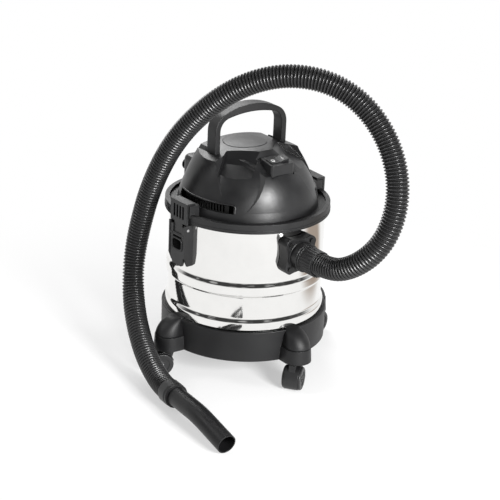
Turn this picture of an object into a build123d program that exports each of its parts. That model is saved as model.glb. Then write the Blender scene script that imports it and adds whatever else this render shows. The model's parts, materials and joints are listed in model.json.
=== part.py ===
"""Wet and dry shop vacuum: steel drum on casters, domed motor head, ribbed hose and nozzle.

Millimetres. Origin on the floor under the drum axis, +Z up, front (inlet and switch) towards -Y.
"""
import os
from math import cos, radians, sin, tan

from build123d import *

os.makedirs("parts", exist_ok=True)

# Fits and gaps
running_fit = 0.05  # radial gap of a pin that turns in its bore
seat_gap = 0.05  # gap between curved faces that seat on each other
slide_gap = 0.3  # gap between pieces that move past each other
side_gap = 0.6  # gap beside a turning lever or wheel

# Casters
wheel_radius = 21.0
wheel_width = 10.6
wheel_round = 2.5
wheel_dish_radius = 13.0
wheel_dish_depth = 1.2
wheel_hub_radius = 6.0
axle_radius = 3.0
hood_width = 12.0
hood_radius = 19.0
hood_back = 9.0  # hood behind the swivel axis
caster_trail = 14.0  # axle behind the swivel axis
stem_radius = 5.5
stem_length = 34.0
swivel_gap = 0.6  # hood top to base underside
caster_reach = 14.0  # swivel axes outside the base dish
# Azimuth of each swivel axis and of the way its wheels trail, in degrees
casters = {"front": (-90, 217), "right": (0, 20), "rear": (90, 37), "left": (180, 160)}

# Base dish
base_bottom = 50.0
base_gap = 3.0  # inside of the dish to the drum's belt
base_height = 55.0
base_wall = 3.0
base_floor_rise = 10.0
base_lip_height = 4.0
base_rib_count = 8
base_rib_width = 2.5
base_rib_height = 8.0
base_hub_radius = 20.0
lobe_radius = 27.0
lobe_skirt_height = 26.0
lobe_taper = 4.0
lobe_nose_radius = 23.0
lobe_ledge = 0.8
lobe_crown_radius = 13.0
lobe_crown_rise = 2.0
lobe_root_depth = 22.0  # lobes start this far inside the dish, before it is cleared

# Drum
drum_radius = 142.0
drum_belt_step = 4.0  # belts stand out from the drum
drum_sheet = 1.2
drum_height = 236.5
drum_corner = 5.0
drum_rim_radius = 2.4
foot_belt_height = 57.0
foot_step_height = 10.0
bead_clear = 18.5  # bead below the inlet flange
bead_edge = 6.0  # the bead runs back to the drum over this height
bead_height = 12.5
bead_step_height = 12.0

# Inlet
inlet_drop = 48.5  # inlet axis below the drum's top
inlet_bore_radius = 16.5
inlet_flange_size = 66.0
inlet_flange_corner = 13.0
inlet_flange_depth = 20.0
inlet_scallop_radius = 70.0
inlet_scallop_depth = 3.5
inlet_neck_radius = 25.0
inlet_neck_length = 18.0
inlet_screw_pitch = 46.0
gasket_thickness = 1.5
gasket_radius = 29.0
elbow_plate_size = 60.0
elbow_plate_corner = 10.0
elbow_plate_depth = 9.0
elbow_radius = 24.0
elbow_depth = 32.0
elbow_wall = 3.0
screw_radius = 2.0
screw_head_radius = 4.0
screw_head_height = 2.6
screw_hole_gap = 0.2

# Hose, cuffs and nozzle
hose_crest_radius = 20.3
hose_root_radius = 17.8
hose_bore_radius = 16.3
hose_rib_count = 180
hose_end_plain = 4.0
spigot_radius = 19.0
spigot_length = 22.0
cuff_radius = 22.8
cuff_length = 36.0
cuff_collar_radius = 24.5
cuff_collar_width = 4.0
cuff_shoulder = 4.0
cuff_rib_count = 28
cuff_rib_radius = 1.0
nozzle_radius = 17.5
nozzle_bore_radius = 15.5
nozzle_bend_radius = 190.0
nozzle_rise_length = 94.0  # from the cuff to the top of the arch
nozzle_flange_radius = 21.5
nozzle_flange_width = 8.0
nozzle_cuff_radius = 22.0
nozzle_cuff_length = 20.0

# Lid ring
lid_overhang = 8.0  # lid outside the drum
lid_rim_height = 16.0
lid_skirt_drop = 7.5  # skirt below the deck's underside
lid_deck = 3.0
lid_wall = 3.6
lid_ring_width = 8.5
lid_eye_radius = 40.0
lid_spigot_wall = 3.0
lid_spigot_depth = 16.0
seal_thickness = 1.5
seal_width = 4.5
keeper_half_width = 25.0
keeper_height = 22.0
keeper_setback = 0.5

# Dome cover
dome_set = 21.5  # dome's foot inside the lid's edge
dome_waist_set = 11.5  # inside the dome's foot, as are the next set values
dome_waist_rise = 41.0
dome_crease_set = 42.5
dome_crease_rise = 84.0
dome_cap_rise = 104.0
dome_wall = 3.0
prow_edge_top = (38.0, 76.0, 83.0)  # side facet's corners: half width, reach, rise
prow_edge_foot = (56.0, 105.0, 43.0)
prow_edge_root = (43.0, 62.0, 84.0)
prow_brow = (84.5, 98.5)  # set inside the dome's foot, and rise above the deck
prow_chin = (27.5, 77.0)
prow_waist = (9.5, 43.0)
prow_toe_set = 2.0
notch_turn = 38.4  # from the X axis towards the front
notch_corner = (62.5, 85.5)  # set inside the dome's foot, and rise above the deck
notch_brow = (79.5, 101.0)
notch_sill = (35.5, 73.0)
notch_half_length = 30.0
notch_reach = 60.0
slot_from = 158.0
slot_to = 222.0
slot_rise = 15.0
slot_height = 14.0
grille_set = 12.6
grille_clear = 5.0  # degrees kept clear of the head's screw bosses
grille_wall = 2.5
grille_height = 34.0
grille_bar_pitch = 3.0  # degrees
grille_bar_gap = 3.6
grille_gap_margin = 2.0  # gaps run past the slot
port_half_width = 48.0
port_stand = 17.5  # outside the dome's foot
port_length = 76.0
port_rise = 54.0
port_bore_radius = 17.6
port_axis_rise = 31.0
port_foot_rise = 6.0
port_corner = 14.0
port_edge = 9.0
gland_radius = 8.0
gland_flange_radius = 11.0
gland_flange = 2.5
gland_length = 16.0
gland_bore_radius = 3.6
gland_offset = 34.0
boss_radius = 6.0
boss_set = 18.5
head_screw_length = 20.0
crown_front = 50.0
crown_rear = 60.0
crown_rear_end = 46.0
crown_ear = 17.0  # crown outside the middle of the handle's leg
crown_ear_front = 9.0  # in front of the handle's pocket
crown_rise = 108.0
crown_end_drop = 15.0
crown_depth = 48.0
crown_draft = 35.0
crown_flank = (32.5, 88.0)  # set inside the dome's foot, and rise above the deck
crown_flank_lean = 6.0
crown_end_wall = 9.0
crown_border = 10.0  # from the crown's edge to the room under it
panel_radius = 40.0
panel_set_back = 16.0
panel_sink = 1.5
panel_stand = 0.6

# Switch
switch_half_width = 24.5
switch_set = 28.5  # front of the switch inside the dome's foot
switch_length = 36.0
switch_depth = 26.0
switch_back_rise = 101.0
switch_front_rise = 95.5
switch_corner = 5.0
rocker_half_length = 18.2
rocker_half_width = 9.5
rocker_end_gap = 1.2
rocker_end_rise = 7.0
rocker_middle_rise = 4.6
rocker_keel = 4.0
rocker_sink = 3.0  # hinge below the housing's top
rocker_well = 11.0
rocker_pin_depth = 2.5
rocker_tilt = 8.0
rocker_pin_radius = 1.5

# Carry handle
handle_half_width = 73.0
handle_rise = 181.0  # top of the grip above the deck
handle_thickness = 10.0
grip_thickness = 14.0
handle_depth = 25.0
handle_corner = 34.0
handle_bow = 23.5  # the grip's top falls this far to the legs
grip_bow = 11.5
grip_corner = 24.0
handle_pivot_rise = 89.0
handle_set_back = 10.0  # pivot behind the drum's axis
handle_pin_radius = 3.5
handle_pin_depth = 6.0  # pin in each wall of the pocket
pocket_length = 54.0  # behind the pivot

# Latches
latch_turn = 2.2  # latches stand this far round towards the front
latch_half_width = 24.0
latch_cheek = 3.5
latch_depth = 16.0
latch_plate = 1.4
bracket_height = 77.0
bracket_top_drop = 11.0  # below the deck's underside
latch_pivot_drop = 20.0
latch_pivot_out = 9.0  # outside the drum
latch_pin_radius = 2.5
lever_barrel_radius = 5.0
lever_length = 75.0
lever_thickness = 5.5
lever_tab_radius = 18.0
lever_tab_half_width = 13.0
latch_shift = 0.5  # lever's back outside its pivot
lever_fork_half_width = 12.5
lever_fork_depth = 28.0
hook_drop = 13.0  # hook pin below the lever pivot
hook_out = 3.0
hook_pin_radius = 2.0
hook_eye_radius = 4.0
hook_thickness = 4.0
hook_stand = 1.0  # outside the lid
hook_foot_gap = 1.0
hook_tongue_half_width = 12.0
hook_slot_rise = 8.0
hook_slot_count = 4
hook_slot_pitch = 8.5
hook_slot_width = 5.0
hook_slot_height = 24.0
hook_reach = 14.0
rivet_radius = 2.0
rivet_head_radius = 4.0
rivet_head_height = 1.2
rivet_spacing = 22.0
rivet_drop = 48.0
rivet_tail_gap = 1.0  # inner heads off the drum's wall

# Motor, fan and filter
shroud_radius = 70.0
shroud_height = 26.0
shroud_wall = 3.0
shroud_window_count = 6
shroud_window_width = 30.0
shroud_window_height = 14.0
can_radius = 48.0
can_height = 54.0
can_wall = 2.0
can_vent_count = 8
can_vent_length = 16.0
can_vent_width = 6.0
field_width = 12.0
field_height = 34.0
field_rise = 10.0
shaft_radius = 5.0
shaft_rise = 2.0
core_radius = 30.0
core_height = 30.0
core_slot_count = 12
core_slot_width = 3.0
core_slot_depth = 6.0
commutator_radius = 12.0
commutator_height = 6.0
bearing_radius = 11.0
bearing_height = 6.0
fan_radius = 62.0
fan_plate = 2.0
fan_blade_height = 13.0
fan_blade_count = 8
fan_blade_width = 1.6
fan_hub_radius = 10.0
fan_blade_turn = 20.0
fan_rise = 5.0
cage_radius = 50.0
cage_wall = 2.5
cage_height = 111.0
cage_flange_radius = 60.0
cage_window_count = 12
cage_window_width = 14.0
cage_window_height = 78.0
cage_window_rise = 16.0
foam_thickness = 9.0
float_radius = 32.0
float_height = 40.0
float_wall = 2.0
float_round = 4.0
float_seat_radius = 26.0
cage_drain_radius = 18.0

# Places worked out from the sizes above
drum_belt_radius = drum_radius + drum_belt_step
drum_inner_radius = drum_radius - drum_sheet
base_inner_radius = drum_belt_radius + base_gap
base_radius = base_inner_radius + base_wall
lobe_root = base_radius - lobe_root_depth
caster_circle = base_radius + caster_reach
lid_radius = drum_radius + lid_overhang
dome_radius = lid_radius - dome_set
dome_waist_radius = dome_radius - dome_waist_set
dome_crease_radius = dome_radius - dome_crease_set
grille_radius = dome_radius - grille_set
boss_circle = dome_radius - boss_set
port_reach = dome_radius + port_stand
port_root = port_reach - port_length
switch_far = dome_radius - switch_set
switch_near = switch_far - switch_length
rivet_tail_radius = drum_inner_radius - rivet_tail_gap
base_top = base_bottom + base_height
base_floor = base_bottom + base_floor_rise
drum_bottom = base_floor + base_wall
drum_top = drum_bottom + drum_height
deck_under = drum_top + seal_thickness
deck_top = deck_under + lid_deck
lid_bottom = deck_under - lid_skirt_drop
lid_top = lid_bottom + lid_rim_height
inlet_height = drum_top - inlet_drop
hood_top = base_bottom - swivel_gap
handle_top = deck_top + handle_rise
handle_pivot_height = deck_top + handle_pivot_rise
crown_half_length = handle_half_width + crown_ear
crown_top = deck_top + crown_rise
latch_pivot_height = deck_under - latch_pivot_drop
latch_pivot_radius = drum_radius + latch_pivot_out
keeper_top = deck_top + keeper_height


def save(piece, name):
    """Label a finished piece and write it as one file."""
    piece.part.label = name
    export_step(piece.part, f"parts/{name}.step")


def upright(turn, reach=0.0):
    """Plane at an azimuth whose X points out from the axis and whose Y points up."""
    out = Vector(cos(radians(turn)), sin(radians(turn)), 0)
    return Plane(origin=out * reach, x_dir=out, z_dir=out.cross(Vector(0, 0, 1)))


def facing(turn, reach, height=0.0):
    """Plane that faces outwards at an azimuth: X runs round the drum, Y points up."""
    out = Vector(cos(radians(turn)), sin(radians(turn)), 0)
    return Plane(origin=out * reach + Vector(0, 0, height), x_dir=Vector(0, 0, 1).cross(out), z_dir=out)


def ring(outer, inner, bottom, height):
    """Upright tube, added to the part that is open."""
    with BuildSketch(Plane.XY.offset(bottom)) as wall:
        Circle(outer)
        Circle(inner, mode=Mode.SUBTRACT)
    extrude(wall.sketch, amount=height)


# Base dish with its four caster lobes
with BuildPart() as lobe:
    with BuildSketch(Plane.XY.offset(base_bottom)):
        with Locations((caster_circle, 0)):
            Circle(lobe_radius)
        with Locations(((caster_circle + lobe_root) / 2, 0)):
            Rectangle(caster_circle - lobe_root, 2 * lobe_radius)
    extrude(amount=lobe_skirt_height, taper=lobe_taper)
    skirt_lean = lobe_skirt_height * tan(radians(lobe_taper))
    nose_reach = caster_circle + lobe_radius - skirt_lean - lobe_ledge - lobe_nose_radius
    crown_reach = base_radius - lobe_crown_radius / 2
    with BuildSketch(Plane.XY.offset(base_bottom + lobe_skirt_height)):
        with Locations(((nose_reach + lobe_root) / 2, 0)):
            SlotCenterToCenter(nose_reach - lobe_root, 2 * lobe_nose_radius)
    with BuildSketch(Plane.XY.offset(base_top + lobe_crown_rise)):
        with Locations(((crown_reach + lobe_root) / 2, 0)):
            SlotCenterToCenter(crown_reach - lobe_root, 2 * lobe_crown_radius)
    loft()

with BuildPart() as base_dish:
    with BuildSketch(Plane.XY.offset(base_bottom)):
        Circle(base_radius)
    extrude(amount=base_height)
    for quarter in range(4):
        add(lobe.part.rotate(Axis.Z, 90 * quarter))
    lip_bottom = base_top - base_lip_height
    with BuildSketch(Plane.XY.offset(drum_bottom)):
        Circle(base_inner_radius)
    extrude(amount=lip_bottom - drum_bottom, mode=Mode.SUBTRACT)
    with BuildSketch(Plane.XY.offset(lip_bottom)):
        Circle(drum_belt_radius + slide_gap)
    extrude(amount=base_height, mode=Mode.SUBTRACT)
    with BuildSketch(Plane.XY.offset(base_bottom)):
        Circle(base_inner_radius)
    extrude(amount=base_floor_rise, mode=Mode.SUBTRACT)
    with BuildSketch(Plane.XY.offset(base_floor + base_wall / 2)):
        Circle(base_hub_radius)
        with PolarLocations((base_inner_radius + base_wall / 2) / 2, base_rib_count, start_angle=22.5):
            Rectangle(base_inner_radius + base_wall / 2, base_rib_width)
    extrude(amount=-base_rib_height - base_wall / 2)
    with BuildSketch(Plane.XY.offset(base_bottom)):
        with PolarLocations(caster_circle, 4):
            Circle(stem_radius + running_fit)
    extrude(amount=stem_length + slide_gap, mode=Mode.SUBTRACT)
save(base_dish, "base_dish")

# Casters: hood with its swivel stem, axle and a pair of wheels
for side, (azimuth, trail_turn) in casters.items():
    foot = Vector(caster_circle * cos(radians(azimuth)), caster_circle * sin(radians(azimuth)), 0)
    trail = Vector(cos(radians(trail_turn)), sin(radians(trail_turn)), 0)
    rolling = Plane(origin=foot, x_dir=trail, z_dir=trail.cross(Vector(0, 0, 1)))
    axle_spot = (caster_trail, wheel_radius)
    wheel_start = hood_width / 2 + side_gap

    with BuildPart() as hood:
        with BuildSketch(rolling):
            with Locations(axle_spot):
                Circle(hood_radius)
            with BuildLine():
                Polyline(
                    (-hood_back, hood_top),
                    (caster_trail + hood_radius * 0.7, hood_top),
                    (caster_trail + hood_radius, wheel_radius),
                    (caster_trail - hood_radius * 0.7, wheel_radius - hood_radius * 0.7),
                    (-hood_back, hood_top - hood_back),
                    close=True,
                )
            make_face()
        extrude(amount=hood_width / 2, both=True)
        with BuildSketch(rolling):
            with Locations(axle_spot):
                Circle(axle_radius + running_fit)
        extrude(amount=hood_width, both=True, mode=Mode.SUBTRACT)
        with BuildSketch(Plane(origin=foot + Vector(0, 0, hood_top))):
            Circle(stem_radius)
        extrude(amount=stem_length + swivel_gap)
    save(hood, f"caster_{side}_hood")

    with BuildPart() as axle:
        with BuildSketch(rolling):
            with Locations(axle_spot):
                Circle(axle_radius)
        extrude(amount=wheel_start + wheel_width - wheel_dish_depth, both=True)
    save(axle, f"caster_{side}_axle")

    with BuildPart() as wheels:
        for hand in (1, -1):
            with BuildSketch(rolling.offset(hand * wheel_start)):
                with Locations(axle_spot):
                    Circle(wheel_radius)
                    Circle(axle_radius, mode=Mode.SUBTRACT)
            extrude(amount=hand * wheel_width)
        fillet(wheels.edges().filter_by(GeomType.CIRCLE).sort_by(SortBy.RADIUS)[-4:], wheel_round)
        for hand in (1, -1):
            with BuildSketch(rolling.offset(hand * (wheel_start + wheel_width))):
                with Locations(axle_spot):
                    Circle(wheel_dish_radius)
                    Circle(wheel_hub_radius, mode=Mode.SUBTRACT)
            extrude(amount=-hand * wheel_dish_depth, mode=Mode.SUBTRACT)
    save(wheels, f"caster_{side}_wheels")


# Steel drum
def drum_section(inset, top):
    """Half section of the drum's outline, drawn in by inset."""
    small = drum_radius - inset
    large = drum_belt_radius - inset
    corner = drum_corner - inset
    bottom = drum_bottom + inset
    foot_belt = drum_bottom + foot_belt_height
    foot_end = foot_belt + foot_step_height
    neck = inlet_height - inlet_flange_size / 2 - bead_clear
    bead_end = neck - bead_step_height
    bead = bead_end - bead_height - bead_edge
    foot_middle = (foot_belt + foot_end) / 2
    bead_middle = (bead_end + neck) / 2
    bead_under = bead + bead_edge / 2
    with BuildSketch(Plane.XZ) as section:
        with BuildLine():
            Line((0, bottom), (large - corner, bottom))
            TangentArc((large - corner, bottom), (large, bottom + corner), tangent=(1, 0))
            Line((large, bottom + corner), (large, foot_belt))
            Bezier((large, foot_belt), (large, foot_middle), (small, foot_middle), (small, foot_end))
            Line((small, foot_end), (small, bead))
            Bezier((small, bead), (small, bead_under), (large, bead_under), (large, bead + bead_edge))
            Line((large, bead + bead_edge), (large, bead_end))
            Bezier((large, bead_end), (large, bead_middle), (small, bead_middle), (small, neck))
            Polyline((small, neck), (small, top), (0, top), (0, bottom))
        make_face()
    return section.sketch


inlet_face = facing(-90, drum_radius + inlet_flange_depth, inlet_height)
screw_corners = GridLocations(inlet_screw_pitch, inlet_screw_pitch, 2, 2).locations
latch_turns = {"left": 180 + latch_turn, "right": -latch_turn}
rivet_height = deck_under - rivet_drop

with BuildPart() as drum_shell:
    revolve(drum_section(0, drum_top), axis=Axis.Z)
    revolve(drum_section(drum_sheet, drum_top + drum_sheet), axis=Axis.Z, mode=Mode.SUBTRACT)
    with BuildSketch(Plane.XZ):
        with Locations((drum_radius + drum_rim_radius - drum_sheet, drum_top - drum_rim_radius)):
            Circle(drum_rim_radius)
    revolve(axis=Axis.Z)
    with BuildSketch(inlet_face):
        Circle(spigot_radius)
        with Locations(*screw_corners):
            Circle(screw_radius + screw_hole_gap)
    extrude(amount=-3 * inlet_flange_depth, mode=Mode.SUBTRACT)
    for turn in latch_turns.values():
        with BuildSketch(facing(turn, drum_radius + latch_depth, rivet_height)):
            with GridLocations(rivet_spacing, 0, 2, 1):
                Circle(rivet_radius + seat_gap)
        extrude(amount=-3 * latch_depth, mode=Mode.SUBTRACT)
save(drum_shell, "drum_shell")

# Inlet: outer flange with its neck, gasket, inner elbow and screws
with BuildPart() as inlet_flange:
    with BuildSketch(inlet_face):
        RectangleRounded(inlet_flange_size, inlet_flange_size, inlet_flange_corner)
        scallop_centre = inlet_flange_size / 2 + inlet_scallop_radius - inlet_scallop_depth
        with PolarLocations(scallop_centre, 4):
            Circle(inlet_scallop_radius, mode=Mode.SUBTRACT)
    extrude(amount=-2 * inlet_flange_depth)
    with Locations((0, 0, inlet_height)):
        Cylinder(drum_radius + gasket_thickness + seat_gap, 2 * inlet_flange_size, mode=Mode.SUBTRACT)
    with BuildSketch(inlet_face):
        Circle(inlet_neck_radius)
    extrude(amount=inlet_neck_length)
    with BuildSketch(inlet_face):
        Circle(inlet_bore_radius)
    extrude(amount=2 * inlet_flange_depth, both=True, mode=Mode.SUBTRACT)
    with BuildSketch(inlet_face.offset(inlet_neck_length)):
        Circle(spigot_radius + running_fit)
    extrude(amount=-spigot_length - seat_gap, mode=Mode.SUBTRACT)
    with BuildSketch(inlet_face):
        with Locations(*screw_corners):
            Circle(screw_radius + screw_hole_gap)
    extrude(amount=-2 * inlet_flange_depth, mode=Mode.SUBTRACT)
save(inlet_flange, "inlet_flange")

with BuildPart() as inlet_gasket:
    with BuildSketch(inlet_face):
        Circle(gasket_radius)
        Circle(spigot_radius, mode=Mode.SUBTRACT)
        with Locations(*screw_corners):
            Circle(screw_head_radius, mode=Mode.SUBTRACT)
    extrude(amount=-2 * inlet_flange_depth)
    with Locations((0, 0, inlet_height)):
        Cylinder(drum_radius + gasket_thickness, 2 * inlet_flange_size, mode=Mode.INTERSECT)
        Cylinder(drum_radius + seat_gap, 2 * inlet_flange_size, mode=Mode.SUBTRACT)
save(inlet_gasket, "inlet_gasket")

elbow_face = facing(-90, drum_radius, inlet_height)
with BuildPart() as inlet_elbow:
    with BuildSketch(elbow_face):
        RectangleRounded(elbow_plate_size, elbow_plate_size, elbow_plate_corner)
    extrude(amount=-elbow_plate_depth)
    with BuildSketch(elbow_face):
        Circle(elbow_radius)
    extrude(amount=-elbow_depth)
    with Locations((0, 0, inlet_height)):
        Cylinder(drum_inner_radius - seat_gap, 2 * elbow_plate_size, mode=Mode.INTERSECT)
    with BuildSketch(elbow_face):
        Circle(elbow_radius - elbow_wall)
    extrude(amount=elbow_wall - elbow_depth, mode=Mode.SUBTRACT)
    with BuildSketch(elbow_face.offset(-elbow_plate_depth)):
        with Locations((elbow_radius, 0)):
            Rectangle(2 * elbow_radius, 2 * elbow_radius)
    extrude(amount=elbow_plate_depth + elbow_wall - elbow_depth, mode=Mode.SUBTRACT)
    with BuildSketch(elbow_face):
        with Locations(*screw_corners):
            Circle(screw_radius + seat_gap)
    extrude(amount=-elbow_depth, mode=Mode.SUBTRACT)
save(inlet_elbow, "inlet_elbow")

with BuildPart() as inlet_screws:
    with BuildSketch(inlet_face):
        with Locations(*screw_corners):
            Circle(screw_head_radius)
    extrude(amount=screw_head_height)
    with BuildSketch(inlet_face):
        with Locations(*screw_corners):
            Circle(screw_radius)
    extrude(amount=-inlet_flange_depth - elbow_plate_depth)
save(inlet_screws, "inlet_screws")

# Hose cuff that plugs into the neck, with fine grip ribs
neck_end = drum_radius + inlet_flange_depth + inlet_neck_length
hose_start = neck_end + cuff_collar_width + cuff_shoulder
cuff_face = facing(-90, neck_end + seat_gap, inlet_height)
with BuildPart() as hose_port_cuff:
    with BuildSketch(cuff_face):
        Circle(cuff_collar_radius)
    extrude(amount=cuff_collar_width)
    with BuildSketch(cuff_face):
        Circle(cuff_radius)
        with PolarLocations(cuff_radius, cuff_rib_count):
            Circle(cuff_rib_radius)
    extrude(amount=cuff_length)
    with BuildSketch(cuff_face):
        Circle(spigot_radius)
    extrude(amount=-spigot_length)
    with BuildSketch(cuff_face):
        Circle(inlet_bore_radius)
    extrude(amount=2 * cuff_length, both=True, mode=Mode.SUBTRACT)
    with BuildSketch(facing(-90, hose_start, inlet_height)):
        Circle(hose_crest_radius + seat_gap)
    extrude(amount=cuff_length, mode=Mode.SUBTRACT)
save(hose_port_cuff, "hose_port_cuff")

# Ribbed hose: from the cuff it arches over the handle and comes down to the floor on the left
hose_route = [
    (0, -hose_start, inlet_height),
    (0, -244, inlet_height),
    (8, -289, 269),
    (25, -324, 303),
    (42, -341, 345),
    (56, -341, 398),
    (64, -322, 451),
    (60, -289, 503),
    (41, -246, 548),
    (7, -199, 575),
    (-36, -143, 578),
    (-78, -86, 554),
    (-115, -29, 505),
    (-141, 32, 431),
    (-153, 85, 335),
    (-159, 115, 240),
    (-169, 116, 178),
    (-182, 97, 128),
    (-200, 58, 92),
    (-216, 10, 62),
    (-226, -30, 44),
    (-231, -64, 31),
    (-236, -97, 26.5),
    (-240, -129, 28.5),
]
route_points = [Vector(*spot) for spot in hose_route]
hose_radii = []
for before, here, after in zip(route_points, route_points[1:], route_points[2:]):
    turn = (here - before).get_angle(after - here)
    shorter = min((here - before).length, (after - here).length)
    hose_radii.append(0.45 * shorter / tan(radians(turn / 2)))
print("hose bend radii:", [round(bend) for bend in hose_radii])

with BuildLine() as hose_path:
    FilletPolyline(*route_points, radius=hose_radii)
hose_line = hose_path.wire()
hose_length = hose_line.length
rib_length = (hose_length - 2 * hose_end_plain) / hose_rib_count
steady = Vector(0.8, 0.6, 0)


def hose_disc(distance, radius):
    """Disc across the hose at a distance along it, on a steady X axis."""
    share = distance / hose_length
    with BuildSketch(Plane(origin=hose_line @ share, x_dir=steady, z_dir=hose_line % share)) as disc:
        Circle(radius)
    return disc.sketch


hose_discs = [hose_disc(0, hose_root_radius)]
for rib in range(hose_rib_count):
    rib_start = hose_end_plain + rib * rib_length
    hose_discs.append(hose_disc(rib_start, hose_root_radius))
    hose_discs.append(hose_disc(rib_start + rib_length * 0.3, hose_crest_radius))
    hose_discs.append(hose_disc(rib_start + rib_length * 0.6, hose_crest_radius))
    hose_discs.append(hose_disc(rib_start + rib_length * 0.9, hose_root_radius))
hose_discs.append(hose_disc(hose_length, hose_root_radius))

with BuildPart() as hose:
    loft(hose_discs, ruled=True)
    with BuildSketch(Plane(origin=hose_line @ 0, x_dir=steady, z_dir=hose_line % 0)):
        Circle(hose_bore_radius)
    sweep(path=hose_line, mode=Mode.SUBTRACT)
save(hose, "hose")
print(f"hose: {hose_length:.0f} mm long, {hose_rib_count} ribs, volume {hose.part.volume:.0f} mm3")

# Nozzle cuff and bent nozzle that lies on the floor
hose_end = route_points[-1]
tool_dir = (route_points[-1] - route_points[-2]).normalized()
tool_face = Plane(origin=hose_end, x_dir=steady, z_dir=tool_dir)
with BuildPart() as nozzle_cuff:
    with BuildSketch(tool_face.offset(cuff_shoulder)):
        Circle(nozzle_cuff_radius)
    extrude(amount=-nozzle_cuff_length)
    with BuildSketch(tool_face):
        Circle(hose_crest_radius + seat_gap)
    extrude(amount=-nozzle_cuff_length, mode=Mode.SUBTRACT)
    with BuildSketch(tool_face):
        Circle(nozzle_bore_radius)
    extrude(amount=nozzle_cuff_length, mode=Mode.SUBTRACT)
save(nozzle_cuff, "nozzle_cuff")

nozzle_base = hose_end + tool_dir * (cuff_shoulder + seat_gap)
nozzle_elbow = nozzle_base + tool_dir * nozzle_rise_length
nozzle_tip = Vector(-255, -311, 17.9)
with BuildPart() as nozzle:
    with BuildLine() as nozzle_path:
        FilletPolyline(nozzle_base, nozzle_elbow, nozzle_tip, radius=nozzle_bend_radius)
    nozzle_line = nozzle_path.wire()
    nozzle_face = Plane(origin=nozzle_base, x_dir=steady, z_dir=nozzle_line % 0)
    with BuildSketch(nozzle_face):
        Circle(nozzle_radius)
        Circle(nozzle_bore_radius, mode=Mode.SUBTRACT)
    sweep(path=nozzle_line)
    with BuildSketch(nozzle_face):
        Circle(nozzle_flange_radius)
        Circle(nozzle_radius - seat_gap, mode=Mode.SUBTRACT)
    extrude(amount=nozzle_flange_width)
save(nozzle, "nozzle")

# Lid ring that closes the drum and carries the head
with BuildPart() as lid_ring:
    ring(lid_radius, lid_radius - lid_wall, lid_bottom, lid_rim_height)
    ring(lid_radius - lid_wall / 2, lid_eye_radius, deck_under, lid_deck)
    ring(lid_radius - lid_wall / 2, lid_radius - lid_ring_width, deck_top, lid_top - deck_top)
    spigot_outer = drum_inner_radius - 2 * side_gap
    ring(spigot_outer, spigot_outer - lid_spigot_wall, deck_under - lid_spigot_depth, lid_spigot_depth)
    for turn in latch_turns.values():
        with BuildSketch(upright(turn)):
            with BuildLine():
                Polyline(
                    (dome_radius + 2 * seat_gap, deck_top),
                    (lid_radius - keeper_setback, deck_top),
                    (lid_radius - keeper_setback, keeper_top),
                    (dome_radius + 2 * seat_gap, keeper_top),
                    close=True,
                )
            make_face()
        extrude(amount=keeper_half_width, both=True)
    with BuildSketch(Plane.XY.offset(deck_top)):
        Circle(dome_radius + seat_gap)
    extrude(amount=keeper_height, mode=Mode.SUBTRACT)
    with BuildSketch(Plane.XY.offset(deck_under)):
        with PolarLocations(boss_circle, 4, start_angle=45):
            Circle(screw_radius + screw_hole_gap)
    extrude(amount=lid_deck, mode=Mode.SUBTRACT)
save(lid_ring, "lid_ring")

with BuildPart() as lid_seal:
    ring(drum_radius + seal_width / 2, drum_radius - seal_width / 2, drum_top, seal_thickness)
save(lid_seal, "lid_seal")


# Dome cover
def dome_section(inset):
    """Half section of the dome, drawn in by inset."""
    crease = (dome_crease_radius - inset, deck_top + dome_crease_rise - inset)
    cap = (0, deck_top + dome_cap_rise - inset)
    cap_middle_rise = 0.76 * dome_cap_rise + 0.24 * dome_crease_rise
    cap_middle = (dome_crease_radius * 0.55, deck_top + cap_middle_rise - inset)
    with BuildSketch(Plane.XZ) as section:
        with BuildLine():
            Line((0, deck_top), (dome_radius - inset, deck_top))
            ThreePointArc(
                (dome_radius - inset, deck_top),
                (dome_waist_radius - inset, deck_top + dome_waist_rise),
                crease,
            )
            ThreePointArc(crease, cap_middle, cap)
            Line(cap, (0, deck_top))
        make_face()
    return section.sketch


def round_prow(inset):
    """The prow under the switch, drawn in by inset: half a turn of its section between two facets."""
    brow = (dome_radius - prow_brow[0], deck_top + prow_brow[1] - inset)
    chin = (dome_radius - prow_chin[0] - inset, deck_top + prow_chin[1] - inset)
    waist = (dome_radius - prow_waist[0] - inset, deck_top + prow_waist[1])
    toe = (dome_radius - prow_toe_set - inset, deck_top)
    with BuildPart() as prow:
        with BuildSketch(upright(180)):
            with BuildLine():
                Line((0, deck_top), (0, brow[1]))
                Line((0, brow[1]), brow)
                Line(brow, chin)
                ThreePointArc(chin, waist, toe)
                Line(toe, (0, deck_top))
            make_face()
        revolve(axis=Axis.Z, revolution_arc=180)
        for hand in (1, -1):
            top, foot, root = (
                Vector(hand * side, -reach, deck_top + rise)
                for side, reach, rise in (prow_edge_top, prow_edge_foot, prow_edge_root)
            )
            out = (foot - top).cross(root - top).normalized() * hand
            split(bisect_by=Plane(origin=top - out * inset, z_dir=out), keep=Keep.BOTTOM)
    return prow.part


def cut_notches(inset):
    """Cut the two V-shaped hollows beside the prow, grown into the dome by inset."""
    corner = (dome_radius - notch_corner[0] - 0.7 * inset, deck_top + notch_corner[1] - 0.8 * inset)
    up_slope = (notch_brow[1] - notch_corner[1]) / (notch_brow[0] - notch_corner[0])
    down_slope = (notch_corner[1] - notch_sill[1]) / (notch_corner[0] - notch_sill[0])
    crown = (corner[0] - notch_reach, corner[1] + notch_reach * up_slope)
    sill = (corner[0] + notch_reach, corner[1] - notch_reach * down_slope)
    for turn in (180 + notch_turn, -notch_turn):
        with BuildSketch(upright(turn)) as hollow:
            with BuildLine():
                Polyline(corner, sill, (sill[0], crown[1]), crown, close=True)
            make_face()
        extrude(hollow.sketch, amount=notch_half_length + inset, both=True, mode=Mode.SUBTRACT)


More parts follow.
